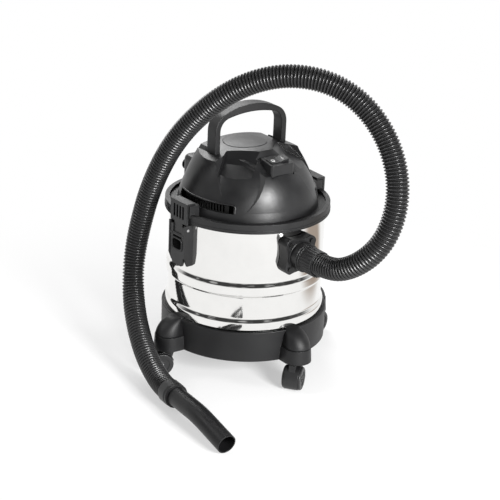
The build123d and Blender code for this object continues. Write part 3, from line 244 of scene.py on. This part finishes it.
# %% [markdown]
# The drum is stainless steel polished to a mirror. A perfect mirror looks like a computer's: the
# real sheet is very slightly wavy from rolling, and has faint marks round its girth from the
# polishing wheel. The waves bend the normal over centimetres, the marks only touch the roughness.


# %% Polished steel
def polished_steel(name, tint, rough, wave_depth, mark_strength):
    """Mirror metal: slow waves in the normal, fine marks round the girth in the roughness."""
    finish = Finish(name)
    marks = finish.noise(1.0, 3.0, place=finish.stretched((6.0, 6.0, 900.0)))
    waves = finish.noise(9.0, 1.0)
    smear = finish.noise(30.0, 3.0)
    finish.shade({
        "Base Color": finish.mix(smear.ramp(0.35, 0.75), tint, tuple(0.97 * part for part in tint)),
        "Metallic": 1.0,
        "Roughness": rough + marks * mark_strength + smear * 0.02,
        "Normal": finish.bump(waves, wave_depth),
    })
    return finish


drum_steel = polished_steel("drum_steel", (0.86, 0.855, 0.84), 0.03, 0.0010, 0.04)
pin_steel = polished_steel("pin_steel", (0.55, 0.55, 0.55), 0.25, 0.0, 0.1)
motor_steel = polished_steel("motor_steel", (0.6, 0.6, 0.6), 0.35, 0.0, 0.1)
core_steel = polished_steel("core_steel", (0.35, 0.28, 0.22), 0.45, 0.0, 0.1)
fan_alloy = polished_steel("fan_alloy", (0.78, 0.78, 0.79), 0.3, 0.0, 0.1)
dark_screw = polished_steel("dark_screw", (0.05, 0.05, 0.05), 0.35, 0.0, 0.1)
dress(pin_steel, "handle_pins", "head_screws", "latch_rivets")
dress(pin_steel, *[f"caster_{side}_axle" for side in sides])
dress(pin_steel, *[f"{latch}_{piece}" for latch in latches for piece in ("pivot_pins", "hook_pin")])
dress(motor_steel, "motor_can", "motor_bearings")
dress(core_steel, "motor_field", "motor_armature")
dress(fan_alloy, "fan_impeller")
dress(dark_screw, "inlet_screws")

# %% [markdown]
# Seals are soft rubber, and the filter is open-cell foam. Both scatter light and have no gloss;
# the foam's cells come from a Voronoi pattern that drives colour and bump together.


# %% Rubber and foam
def soft_rubber(name):
    """Matt black rubber with a faint bloom."""
    finish = Finish(name)
    bloom = finish.noise(60.0, 4.0)
    finish.shade({
        "Base Color": finish.mix(bloom.ramp(0.4, 0.8), (0.012, 0.012, 0.012), (0.03, 0.03, 0.03)),
        "Roughness": bloom.ramp(0.2, 0.8, 0.6, 0.8),
    })
    return finish


def open_foam(name):
    """Foam: each Voronoi cell is a dark pit with lighter walls."""
    finish = Finish(name)
    pits = finish.node("ShaderNodeTexVoronoi", None, {"Vector": finish.place, "Scale": 700.0})
    finish.shade({
        "Base Color": finish.mix(pits.ramp(0.1, 0.6), (0.02, 0.02, 0.022), (0.11, 0.11, 0.12)),
        "Roughness": 0.95,
        "Normal": finish.bump(pits, 0.0006),
    })
    return finish


dress(soft_rubber("seal_rubber"), "inlet_gasket", "lid_seal", "cable_gland")
dress(open_foam("filter_foam"), "foam_sleeve")

# %% [markdown]
# The hose is a stiff corrugated tube, about 1.4 m long. Its centre line is a NURBS curve through
# the same control points as the CAD tube, and Blender itself evaluates the curve. The surface is
# then a function of two parameters: the distance along the line, and the angle round it, with a
# radius that goes up and down once for every rib. A smooth bore runs back along the inside.

# %% Hose route
hose_start = (0.0, -0.188, 0.251)
hose_route = [
    hose_start,
    (0.0, -0.244, 0.251),
    (0.008, -0.289, 0.269),
    (0.025, -0.324, 0.303),
    (0.042, -0.341, 0.345),
    (0.056, -0.341, 0.398),
    (0.064, -0.322, 0.451),
    (0.060, -0.289, 0.503),
    (0.041, -0.246, 0.548),
    (0.007, -0.199, 0.575),
    (-0.036, -0.143, 0.578),
    (-0.078, -0.086, 0.554),
    (-0.115, -0.029, 0.505),
    (-0.141, 0.032, 0.431),
    (-0.153, 0.085, 0.335),
    (-0.159, 0.115, 0.240),
    (-0.169, 0.116, 0.178),
    (-0.182, 0.097, 0.128),
    (-0.200, 0.058, 0.092),
    (-0.216, 0.010, 0.062),
    (-0.226, -0.030, 0.044),
    (-0.231, -0.064, 0.031),
    (-0.236, -0.097, 0.0265),
    (-0.240, -0.129, 0.0285),
]


def smooth_line(route, steps):
    """Points along the NURBS curve that has the route as its control points."""
    curve = bpy.data.curves.new("route", "CURVE")
    curve.dimensions = "3D"
    spline = curve.splines.new("NURBS")
    spline.points.add(len(route) - 1)
    spline.points.foreach_set("co", np.column_stack([route, np.ones(len(route))]).ravel())
    spline.order_u = 3
    spline.use_endpoint_u = True
    spline.resolution_u = steps
    holder = bpy.data.objects.new("route", curve)
    bpy.context.collection.objects.link(holder)
    mesh = bpy.data.meshes.new_from_object(holder)
    points = np.empty(3 * len(mesh.vertices))
    mesh.vertices.foreach_get("co", points)
    bpy.data.objects.remove(holder)
    bpy.data.meshes.remove(mesh)
    bpy.data.curves.remove(curve)
    return points.reshape(-1, 3)


def measure(points):
    """Distance along a line of points, from its start to each of them."""
    return np.concatenate([[0.0], np.cumsum(np.linalg.norm(np.diff(points, axis=0), axis=1))])


hose_line = smooth_line(hose_route, 24)
hose_length = measure(hose_line)[-1]
print("hose length:", round(hose_length, 3), "m")

# %% [markdown]
# Every piece made here is a grid of points: rows along it, columns round it. The faces follow from
# the two counts alone, so one function serves the hose, the drum, the beads and the rest.


# %% Surfaces from grids
def grid_faces(rows, columns, ring=False):
    """Quads of a grid of points whose columns go round; ring joins the last row to the first."""
    row = np.arange(rows if ring else rows - 1)[:, None]
    column = np.arange(columns)[None, :]
    this_row, next_row = row * columns, (row + 1) % rows * columns
    beside = (column + 1) % columns
    quads = [this_row + column, this_row + beside, next_row + beside, next_row + column]
    return np.stack(quads, axis=-1).reshape(-1, 4)


def new_piece(name, points, faces, finish):
    """Smooth mesh object at the origin, from arrays of points and faces."""
    mesh = bpy.data.meshes.new(name)
    mesh.from_pydata(np.asarray(points).reshape(-1, 3), [], [list(face) for face in faces])
    mesh.polygons.foreach_set("use_smooth", np.full(len(mesh.polygons), True))
    mesh.materials.append(finish.material)
    mesh.update()
    piece = bpy.data.objects.new(name, mesh)
    bpy.context.collection.objects.link(piece)
    return piece


def along(points, distances):
    """Positions and unit tangents at given distances along a line of points."""
    reached = measure(points)
    slopes = np.gradient(points, reached, axis=0)
    spots, tangents = (
        np.stack([np.interp(distances, reached, rows[:, axis]) for axis in range(3)], axis=1)
        for rows in (points, slopes)
    )
    return spots, tangents / np.linalg.norm(tangents, axis=1, keepdims=True)


def tube(spots, tangents, radii, sides_round, steady):
    """Rings of points round a line: steady gives every ring the same start direction."""
    across = steady - tangents * (tangents @ steady)[:, None]
    across = across / np.linalg.norm(across, axis=1, keepdims=True)
    over = np.cross(tangents, across)
    angle = np.linspace(0.0, 2.0 * pi, sides_round, endpoint=False)
    cosine, sine = np.cos(angle)[None, :, None], np.sin(angle)[None, :, None]
    ring = across[:, None, :] * cosine + over[:, None, :] * sine
    return spots[:, None, :] + ring * np.asarray(radii)[:, None, None]

# %% [markdown]
# The ribs are a raised cosine, made broader at the crest by a power below one. The same wave is kept on
# the mesh as an attribute, so that the finish makes the crest shinier and paints shade into the groove as
# a darker colour.

# %% Ribbed hose
crest_radius = 0.0203
root_radius = 0.0163
bore_radius = 0.0150
rib_pitch = 0.0059
rib_breadth = 0.6  # below one, crests are broader than grooves
rings_per_rib = 8
hose_sides = 36
steady_side = np.array([0.8, 0.6, 0.0])

rib_count = int(hose_length / rib_pitch)
distances = np.linspace(0.0, hose_length, rib_count * rings_per_rib + 1)
phase = 2.0 * pi * rib_count * distances / hose_length
rib_shape = (0.5 - 0.5 * np.cos(phase)) ** rib_breadth
hose_radii = root_radius + (crest_radius - root_radius) * rib_shape
spots, tangents = along(hose_line, distances)
rib_points = tube(spots, tangents, hose_radii, hose_sides, steady_side)
bore_spots, bore_tangents = along(hose_line, np.linspace(hose_length, 0.0, rib_count + 1))
bore_radii = np.full(rib_count + 1, bore_radius)
bore_points = tube(bore_spots, bore_tangents, bore_radii, hose_sides, steady_side)
hose_points = np.concatenate([rib_points, bore_points])
hose_faces = grid_faces(len(hose_points), hose_sides, ring=True)


def hose_gloss(name):
    """Glossy black plastic with faint scuffs; the grooves between the ribs get painted shade, a darker
    colour.
    """
    finish = Finish(name)
    scuffs = finish.noise(90.0, 4.0, 0.6)
    haze = finish.noise(12.0, 2.0)
    crest = finish.node("ShaderNodeAttribute", {"attribute_name": "rib"}, output="Fac")
    crest_gloss_and_groove_shade = crest.ramp(0.35, 0.9)
    finish.shade({
        # Painted shade: the colour goes nearly black in the grooves between the ribs, where shade falls,
        # and lighter on the crests.
        "Base Color": finish.mix(
            crest_gloss_and_groove_shade * haze.ramp(0.2, 0.7, 0.7, 1.0), (0.001, 0.001, 0.001), (0.016, 0.016, 0.0165)
        ),
        "Roughness": 0.62 - crest_gloss_and_groove_shade * 0.44 + scuffs * 0.07 + haze * 0.05,
    })
    return finish


hose = new_piece("ribbed_hose", hose_points, hose_faces, hose_gloss("hose_gloss"))
rib_mark = hose.data.attributes.new("rib", "FLOAT", "POINT")
ring_marks = np.concatenate([rib_shape, np.zeros(rib_count + 1)])
rib_mark.data.foreach_set("value", np.repeat(ring_marks, hose_sides))
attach(hose, "tank")
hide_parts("hose")
print("hose ribs:", rib_count, "faces:", len(hose.data.polygons))

# %% [markdown]
# A mirror shows every flat facet of a mesh, so the drum is made again as a surface of revolution:
# one profile, drawn with straight runs and S-curves, carried round the axis. The profile runs up
# the outside, round the rolled rim and down the inside, so that the sheet has its two faces.

# %% Polished drum
drum_low, drum_high = (np.array(corner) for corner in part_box("drum_shell"))
drum_bottom, drum_top = drum_low[2], drum_high[2]
belt_radius = drum_high[0]
belt_step = 0.004  # belt and bead stand out from the drum
foot_belt_height, foot_curve = 0.057, 0.010
bead_rise, bead_height = 0.106, 0.0125
bead_curve_under, bead_curve_over = 0.006, 0.012
floor_corner = 0.005
floor_pinch = 0.0008  # radius of the innermost ring of the floor
sheet = 0.0012
rim_round = 0.0024
turns_round = 256

drum_radius = belt_radius - belt_step
foot_belt = drum_bottom + foot_belt_height
foot_end = foot_belt + foot_curve
bead_foot = drum_bottom + bead_rise
bead_low = bead_foot + bead_curve_under
bead_high = bead_low + bead_height
bead_neck = bead_high + bead_curve_over


def s_curve(start, end, steps=14):
    """Cubic Bezier between two points of a section, upright at both ends."""
    part = np.linspace(0.0, 1.0, steps)[:, None]
    middle = (start[1] + end[1]) / 2
    pull_start, pull_end = np.array([start[0], middle]), np.array([end[0], middle])
    ends = (1 - part) ** 3 * np.array(start) + part**3 * np.array(end)
    return ends + 3 * (1 - part) ** 2 * part * pull_start + 3 * (1 - part) * part**2 * pull_end


def arc(centre, radius, start, end, steps=12):
    """Points of a circle in a section, from one angle to another."""
    angle = np.radians(np.linspace(start, end, steps))
    return np.array(centre) + radius * np.column_stack([np.cos(angle), np.sin(angle)])


def upright_run(radius, low, high, steps=6):
    """Points of a straight wall, close enough together to keep its shading flat."""
    return np.column_stack([np.full(steps, radius), np.linspace(low, high, steps + 2)[1:-1]])


def drum_section(inset):
    """Outline of the drum from its floor to its rim, drawn in by an inset."""
    small, large = drum_radius - inset, belt_radius - inset
    corner = floor_corner - inset
    corner_height = drum_bottom + inset + corner
    return np.vstack([
        [(floor_pinch, drum_bottom + inset)],
        arc((large - corner, corner_height), corner, -90, 0, 8),
        upright_run(large, corner_height, foot_belt),
        s_curve((large, foot_belt), (small, foot_end)),
        upright_run(small, foot_end, bead_foot, 16),
        s_curve((small, bead_foot), (large, bead_low)),
        upright_run(large, bead_low, bead_high),
        s_curve((large, bead_high), (small, bead_neck)),
        upright_run(small, bead_neck, drum_top - 2 * rim_round, 40),
    ])


def turned(section, steps):
    """Points of a section, each row carried round the upright axis."""
    angle = np.linspace(0.0, 2.0 * pi, steps, endpoint=False)
    radius, height = section[:, :1], np.repeat(section[:, 1:], steps, axis=1)
    return np.stack([radius * np.cos(angle), radius * np.sin(angle), height], axis=-1)


rim_centre = (drum_radius + rim_round - sheet, drum_top - rim_round)
rim = arc(rim_centre, rim_round, -60, 180, 20)
drum_outline = np.vstack([drum_section(0.0), rim, drum_section(sheet)[::-1]])
drum_faces = grid_faces(len(drum_outline), turns_round, ring=True)
drum = new_piece("polished_drum", turned(drum_outline, turns_round), drum_faces, drum_steel)
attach(drum, "tank")
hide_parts("drum_shell")
print("drum faces:", len(drum.data.polygons))

# %% [markdown]
# Mouldings have small rolled edges: along the lid's skirt, on the rim of the base, and round the
# inlet's barrel. Each is a torus, whose highlight draws the thin bright lines of the real vacuum.
# A bevel on the CAD edge would do as well, but these beads stand proud of their walls.


# %% Rolled edges
bead_turns = 192
bead_sides = 12


def bead(name, centre, radius, thickness, finish, axis="Z"):
    """Torus: a small circle carried round a large one, which lies across the named axis."""
    section = arc((radius, 0.0), thickness, 0, 360, bead_sides + 1)[:-1]
    points = turned(section, bead_turns)
    if axis == "Y":
        points = points[..., [0, 2, 1]] * np.array([1.0, -1.0, 1.0])
    faces = grid_faces(bead_sides, bead_turns, ring=True)
    piece = new_piece(name, points + np.array(centre), faces, finish)
    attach(piece, "tank")


inlet_axis = 0.251
lid_middle, lid_foot, base_rim = (0, 0, 0.2985), (0, 0, 0.2940), (0, 0, 0.1048)
barrel_mouth, barrel_foot = (0, -0.1792, inlet_axis), (0, -0.1628, inlet_axis)
bead("lid_bead", lid_middle, 0.1500, 0.0008, lid_skin)
bead("lid_foot_bead", lid_foot, 0.1496, 0.0011, lid_skin)
bead("base_bead", base_rim, 0.1506, 0.0017, base_skin)
bead("barrel_bead", barrel_mouth, 0.0248, 0.0014, inlet_skin, "Y")
bead("barrel_foot_bead", barrel_foot, 0.0256, 0.0012, inlet_skin, "Y")

# %% [markdown]
# A thin raised lip runs along the top of each exhaust slot and round its front end, where the
# mould leaves a stiffening bead. It could be cut from the CAD edge, but a round profile carried
# along a line on the dome is simpler: the dome's own section, one arc, gives the line's radius.

# %% Lip of the exhaust slot
deck_height = 0.304
dome_section = [(0.1285, 0.0), (0.117, 0.041), (0.086, 0.084)]  # reach and rise: foot, waist, crease
slot_top_rise, slot_middle_rise, slot_foot_rise = 0.0302, 0.022, 0.0145
slot_start_turn, slot_end_turn = 160.0, 223.2  # degrees round the drum
lip_radius = 0.0018
lip_sides = 12
lip_steps = 10
lip_side = np.array([-0.985, -0.174, 0.0])  # outwards from the dome, where its rings start


def dome_reach(rise):
    """Radius of the dome at a height over the deck: the circle through foot, waist and crease."""
    foot, waist, crease = np.array(dome_section)
    rows = 2.0 * np.array([waist - foot, crease - foot])
    squares = np.array([waist @ waist - foot @ foot, crease @ crease - foot @ foot])
    centre = np.linalg.solve(rows, squares)
    return centre[0] + np.sqrt(np.sum((foot - centre) ** 2) - (rise - centre[1]) ** 2)


def capped(rows, columns):
    """Faces of a tube of rings, with a cap at each end."""
    ends = [list(range(columns))[::-1], list(range((rows - 1) * columns, rows * columns))]
    return grid_faces(rows, columns).tolist() + ends


top_turns = np.linspace(slot_start_turn, slot_end_turn, lip_steps)
lip_turns = np.radians(np.concatenate([top_turns, np.full(2, slot_end_turn)]))
lip_rises = np.concatenate([np.full(lip_steps, slot_top_rise), [slot_middle_rise, slot_foot_rise]])
lip_reach = dome_reach(lip_rises)
for hand, side in ((1, "left"), (-1, "right")):
    lip_route = np.column_stack(
        [hand * lip_reach * np.cos(lip_turns), lip_reach * np.sin(lip_turns), deck_height + lip_rises]
    )
    lip_line = smooth_line(lip_route, 8)
    lip_spots, lip_tangents = along(lip_line, measure(lip_line))
    lip_radii = np.full(len(lip_line), lip_radius)
    ring_start = lip_side * np.array([hand, 1.0, 1.0])
    lip_points = tube(lip_spots, lip_tangents, lip_radii, lip_sides, ring_start)
    lip = new_piece(f"slot_lip_{side}", lip_points, capped(len(lip_line), lip_sides), dome_skin)
    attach(lip, "tank")
print("lip points:", len(lip_line))

# %% [markdown]
# Below its hook, each latch lever has a raised loop round a dark window, where a finger gets hold.
# The loop is a rounded rectangle, written as a superellipse, with a round section carried along it.
# The window is a slightly dished plate of matt black inside the loop: painted shade, which stands in for
# the shadow inside the finger recess.

# %% Loops on the latch levers
latch_turn = radians(2.2)
lever_face = 0.157
loop_middle = 0.2505
loop_half_width = 0.0145
loop_half_height = 0.0105
loop_round = 0.0019
loop_count, loop_sides = 64, 12
plate_rings = 8
plate_pinch = 0.02  # share of the window left as its middle cap
plate_height, plate_dish = 0.0006, 0.0003


def round_trip(count):
    """Angles of a full turn, without the last one, which would repeat the first."""
    return np.linspace(0, 2 * pi, count, endpoint=False)


def on_lever(hand, across, up, out):
    """Points from places across, up and out of a lever's face; hand is -1 on the left."""
    outwards = np.array([hand * cos(latch_turn), -sin(latch_turn), 0.0])
    sideways = np.cross(np.array([0.0, 0.0, 1.0]), outwards)
    places = across[..., None] * sideways + (lever_face + out)[..., None] * outwards
    return places + (loop_middle + up)[..., None] * np.array([0.0, 0.0, 1.0])


def squared(angle, power=0.45):
    """Superellipse: cosine and sine drawn out towards the corners of a square."""
    both = np.stack([np.cos(angle), np.sin(angle)])
    return np.sign(both) * np.abs(both) ** power


loop_turn, loop_bend = np.meshgrid(round_trip(loop_count), round_trip(loop_sides), indexing="ij")
corner_x, corner_y = squared(loop_turn)
plate_parts = np.linspace(1.0, plate_pinch, plate_rings)
plate_part, plate_turn = np.meshgrid(plate_parts, round_trip(loop_count), indexing="ij")
plate_x, plate_y = squared(plate_turn)
for hand, side in ((-1, "left"), (1, "right")):
    loop_points = on_lever(
        hand,
        corner_x * (loop_half_width + loop_round * np.cos(loop_bend)),
        corner_y * (loop_half_height + loop_round * np.cos(loop_bend)),
        -loop_round * np.sin(loop_bend),
    )
    loop_faces = grid_faces(loop_count, loop_sides, ring=True)
    loop = new_piece(f"latch_loop_{side}", loop_points, loop_faces, latch_skin)
    # The plate is painted shade: a black sheet where the window's recess would be in shadow.
    plate_points = on_lever(
        hand,
        plate_x * plate_part * loop_half_width,
        plate_y * plate_part * loop_half_height,
        plate_height - plate_dish * plate_part**2,
    )
    plate_faces = capped(plate_rings, loop_count)
    plate = new_piece(f"latch_window_shade_{side}", plate_points, plate_faces, painted_hollow_shade)
    for piece in (loop, plate):
        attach(piece, f"latch_{side}_lever")
print("loop points:", loop_points.size // 3)

# %% [markdown]
# The casters are hooded: a thin fender wraps over each pair of wheels and down to just above the
# floor. It is an arc round the axle with a flat, rounded section. Where the axle and the swivel are
# is read from the frame's joints, so each fender trails the same way as its wheels.

# %% Fenders over the wheels
fender_radius = 0.0221
fender_half_width = 0.0132
fender_half_wall = 0.0007
fender_turns = np.radians(np.linspace(-48.0, 165.0, 48))
fender_sides = 40
fender_squareness = 0.3
joints = {joint["name"]: joint for joint in frame["record"]["behaviour"]["joints"]}
straight_up = np.array([0.0, 0.0, 1.0])


def level_direction(start, end):
    """Unit vector from one point towards another, as seen from above."""
    flat = (np.array(end) - np.array(start)) * np.array([1.0, 1.0, 0.0])
    return flat / np.linalg.norm(flat)


def fender(side):
    """Superellipse section, wide along the axle and thin across it, carried round the axle."""
    axle = np.array(joints[f"caster_{side}_spin"]["pos_m"])
    trail = level_direction(joints[f"caster_{side}_swivel"]["pos_m"], axle)
    wide, thick = squared(round_trip(fender_sides), fender_squareness)
    turn = fender_turns[:, None, None]
    spokes = np.cos(turn) * trail + np.sin(turn) * straight_up
    reach = (fender_radius + fender_half_wall * thick)[None, :, None]
    across = (fender_half_width * wide)[None, :, None] * np.cross(trail, straight_up)
    faces = capped(len(fender_turns), fender_sides)
    piece = new_piece(f"caster_{side}_fender", axle + reach * spokes + across, faces, caster_skin)
    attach(piece, f"caster_{side}_fork")


for side in sides:
    fender(side)
print("fenders:", len(sides))

# %% [markdown]
# Over each caster the base swells into a round nose, like the toe of a shoe. The CAD lobe is a
# straight loft; the nose over it is a stack of half-round sections whose reach shrinks slowly at
# first and quickly near the top, which is what makes it look full. Its back lies in the base wall.

# %% Noses over the casters
nose_low, nose_high = 0.0757, 0.1075
nose_radius, crown_radius = 0.0231, 0.0131
nose_reach, crown_reach = 0.1905, 0.1587
wall_outside, wall_inside = 0.1510, 0.1502
nose_fullness = 1.7
nose_rows, nose_columns = 20, 33


def nose(side):
    """Half circles stacked upwards; radius and reach shrink by a superellipse of the height."""
    steps = np.sin(np.linspace(0.0, pi / 2, nose_rows))
    rise, sweep = np.meshgrid(steps, np.linspace(-pi / 2, pi / 2, nose_columns), indexing="ij")
    swell = np.maximum(1.0 - rise**nose_fullness, 0.0) ** (1.0 / nose_fullness)
    radius = crown_radius + (nose_radius - crown_radius) * swell
    reach = crown_reach + (nose_reach - crown_reach) * swell
    over = radius * np.sin(sweep)
    out = np.maximum(reach - radius + radius * np.cos(sweep), np.sqrt(wall_outside**2 - over**2))
    back = np.sqrt(wall_inside**2 - over**2)
    out, over = np.hstack([out, back[:, ::-1]]), np.hstack([over, over[:, ::-1]])
    height = nose_low + (nose_high - nose_low) * np.hstack([rise, rise])
    outwards = level_direction((0.0, 0.0, 0.0), joints[f"caster_{side}_swivel"]["pos_m"])
    sideways = np.cross(straight_up, outwards)
    points = out[..., None] * outwards + over[..., None] * sideways + height[..., None] * straight_up
    piece = new_piece(f"lobe_nose_{side}", points, capped(*height.shape), base_skin)
    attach(piece, "tank")


for side in sides:
    nose(side)
print("noses:", len(sides))

# %% [markdown]
# The rocker carries two printed signs, a ring for off and a bar for on. Each lies on one of its
# two sloping halves, so their places are worked out from the rocker's tilted axes. A flattened
# torus gives the ring, and the bar is the same surface with its round path squeezed to a line.

# %% Signs on the switch
rocker_lean = radians(8.0)
switch_slope = Vector((0.0, 36.0, 5.5)).normalized()
switch_up = Vector((1.0, 0.0, 0.0)).cross(switch_slope)
switch_middle = Vector((0.0, -0.082, deck_height + 0.09825))
hinge_depth = 0.003
rocker_hinge = switch_middle - switch_up * hinge_depth
rocker_along = Vector((1, 0, 0)) * cos(rocker_lean) + switch_up * sin(rocker_lean)
rocker_up = switch_up * cos(rocker_lean) - Vector((1, 0, 0)) * sin(rocker_lean)
sign_place = 0.0095  # from the hinge
rocker_slant = 0.0024 / 0.0182  # each half rises towards its end
sign_rise = 0.0046 + rocker_slant * sign_place
sign_stroke = 0.0010
sign_height = 0.0003
sign_turns, sign_sides = 32, 8


def sign(name, side, half_along, half_across, finish):
    """Flattened ring: an ellipse on the rocker's slope, with an oval section carried round it."""
    slope = (rocker_along * side + rocker_up * rocker_slant).normalized() * side
    centre = np.array(rocker_hinge + rocker_along * (side * sign_place) + rocker_up * sign_rise)
    along_x, along_y = np.array(slope), np.array(switch_slope)
    up = np.cross(along_x, along_y)
    turn, bend = np.meshgrid(round_trip(sign_turns), round_trip(sign_sides), indexing="ij")
    wide = sign_stroke * np.cos(bend)
    right = (half_along + wide) * np.cos(turn)
    over = (half_across + wide) * np.sin(turn)
    lift = -sign_height * np.sin(bend)
    points = centre + right[..., None] * along_x + over[..., None] * along_y + lift[..., None] * up
    piece = new_piece(name, points, grid_faces(sign_turns, sign_sides, ring=True), finish)
    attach(piece, "rocker")


sign_white = moulded("sign_white", (0.72, 0.72, 0.71), (0.80, 0.80, 0.79), 0.4)
sign("sign_off", -1, 0.0028, 0.0036, sign_white)
sign("sign_on", 1, 0.0001, 0.0036, sign_white)

# %% [markdown]
# A product studio is a pale floor that runs on behind the object, and large soft lamps. What the
# polished drum shows is the room around them: a bright backdrop behind, and in front a dim room
# with a pale horizon. So the world has three faces: white to the camera, that room to reflections,
# and to everything else only a plain, even light.

# %% Floor, lamps and world
floor_size = 16.0
floor_mesh = bpy.data.meshes.new("floor")
half = floor_size / 2
corners = [(-half, -half, 0), (half, -half, 0), (half, half, 0), (-half, half, 0)]
floor_mesh.from_pydata(corners, [], [(0, 1, 2, 3)])
floor = bpy.data.objects.new("floor", floor_mesh)
bpy.context.collection.objects.link(floor)

floor_paper = Finish("floor_paper")
paper = floor_paper.noise(3.0, 2.0)
floor_paper.shade({
    "Base Color": floor_paper.mix(paper.ramp(0.3, 0.7), (0.90, 0.90, 0.90), (0.92, 0.92, 0.92)),
    "Roughness": 0.9,
    "Specular IOR Level": 0.1,
})


def from_spot(spot):
    """Distance of the floor's points from a spot on it."""
    places = {0: floor_paper.place, 1: spot}
    return floor_paper.node("ShaderNodeVectorMath", {"operation": "DISTANCE"}, places, "Value")


shadow_share = from_spot((0.0, 0.0, 0.0)).ramp(0.25, 0.85, 0.48, 1.0)
seen = floor_paper.node("ShaderNodeLightPath", output="Is Camera Ray") * shadow_share
mirrored = floor_paper.node("ShaderNodeLightPath", output="Is Glossy Ray")
mirrored_share = 0.9
# Painted reflection: for reflections only, the floor's glow turns brown round a spot to the right, so the
# drum mirrors a brown patch that no object casts.
from_painted_reflection = from_spot(rightwards * 0.68 + away * 0.20)
painted_brown_reflection = mirrored * from_painted_reflection.ramp(0.17, 0.36, 1.0, 0.0)
glow_colour = floor_paper.mix(painted_brown_reflection, (1.0, 1.0, 1.0), (0.33, 0.25, 0.19))
glow = floor_paper.node("ShaderNodeEmission", None, {"Color": glow_colour, "Strength": 1.0})
paper_shader = Value(floor_paper, floor_paper.shader.outputs[0])
lift = seen + mirrored * mirrored_share
lifted = floor_paper.node("ShaderNodeMixShader", None, {0: lift, 1: paper_shader, 2: glow})
floor_paper.feed(floor_paper.tree.nodes["Material Output"].inputs["Surface"], lifted)
floor_mesh.materials.append(floor_paper.material)


def soft_lamp(name, place, aim, size, power):
    """Square soft box that faces a point."""
    lamp = bpy.data.lights.new(name, "AREA")
    lamp.shape = "SQUARE"
    lamp.size = size
    lamp.energy = power
    holder = bpy.data.objects.new(name, lamp)
    bpy.context.collection.objects.link(holder)
    holder.location = place
    holder.rotation_euler = (Vector(aim) - Vector(place)).to_track_quat("-Z", "Y").to_euler()
    return holder


middle = Vector((0.0, 0.0, 0.3))
lamps = [
    soft_lamp("back_box", middle + away * 1.6 - rightwards * 0.5 + level * 1.6, middle, 1.2, 31.0),
    soft_lamp("key_box", middle + rightwards * 1.25 - away * 1.90 + level * 0.72, middle, 0.75, 96.0),
    soft_lamp("rim_box", middle + rightwards * 2.0 + away * 0.7 + level * 0.9, middle, 0.7, 2.5),
    soft_lamp("left_box", middle - rightwards * 1.9 - away * 0.3 + level * 1.5, middle, 0.7, 12.0),
]

# The mirror shows the room, and not the lamps themselves
mirrors = bpy.data.collections.new("mirrors")
mirrors.objects.link(drum)
mirrors.collection_objects[0].light_linking.link_state = "EXCLUDE"
for lamp in lamps:
    lamp.light_linking.receiver_collection = mirrors

world = bpy.data.worlds.new("studio")
bpy.context.scene.world = world
world.use_nodes = True
room = world.node_tree


def room_node(kind, inputs, settings=None):
    """Node of the room's light, with what its sockets hold or are linked to."""
    made = room.nodes.new(kind)
    for name, setting in (settings or {}).items():
        setattr(made, name, setting)
    for name, held in inputs.items():
        if isinstance(held, bpy.types.NodeSocket):
            room.links.new(held, made.inputs[name])
        else:
            made.inputs[name].default_value = held
    return made


def graded(value, low, high, start, end):
    """Value of the room's light that goes smoothly from start to end between two limits."""
    limits = {"Value": value, "From Min": low, "From Max": high, "To Min": start, "To Max": end}
    return room_node("ShaderNodeMapRange", limits, {"interpolation_type": "SMOOTHSTEP"}).outputs[0]


horizon_glow = 0.84
even_light = 0.32
rays = room_node("ShaderNodeLightPath", {}).outputs
direction = room_node("ShaderNodeTexCoord", {}).outputs["Generated"]
height = room_node("ShaderNodeSeparateXYZ", {0: direction}).outputs["Z"]
facing_back = room_node("ShaderNodeVectorMath", {0: direction, 1: away}, {"operation": "DOT_PRODUCT"})
at_back = graded(facing_back.outputs["Value"], 0.0, 0.5, 0.0, 1.0)
blur = {"Vector": direction, "Scale": 4.0, "Detail": 1.0}
clutter = room_node("ShaderNodeTexNoise", blur).outputs[0]
room_dark = graded(clutter, 0.52, 0.66, 0.05, 0.45)
over_horizon = graded(height, 0.02, 0.24, 0.0, 1.0)
front = room_node("ShaderNodeMix", {0: over_horizon, 2: horizon_glow, 3: room_dark}).outputs[0]
backdrop = graded(height, 0.35, 0.80, 0.95, 0.20)
ceiling = room_node("ShaderNodeMix", {0: at_back, 2: front, 3: backdrop}).outputs[0]
plain = room_node("ShaderNodeMix", {0: rays["Is Glossy Ray"], 2: even_light, 3: ceiling}).outputs[0]
shown = room_node("ShaderNodeMix", {0: rays["Is Camera Ray"], 2: plain, 3: 1.0}).outputs[0]
room.links.new(shown, room.nodes["Background"].inputs["Strength"])
room.nodes["Background"].inputs["Color"].default_value = (1, 1, 1, 1)
bpy.context.scene.view_settings.view_transform = "Standard"
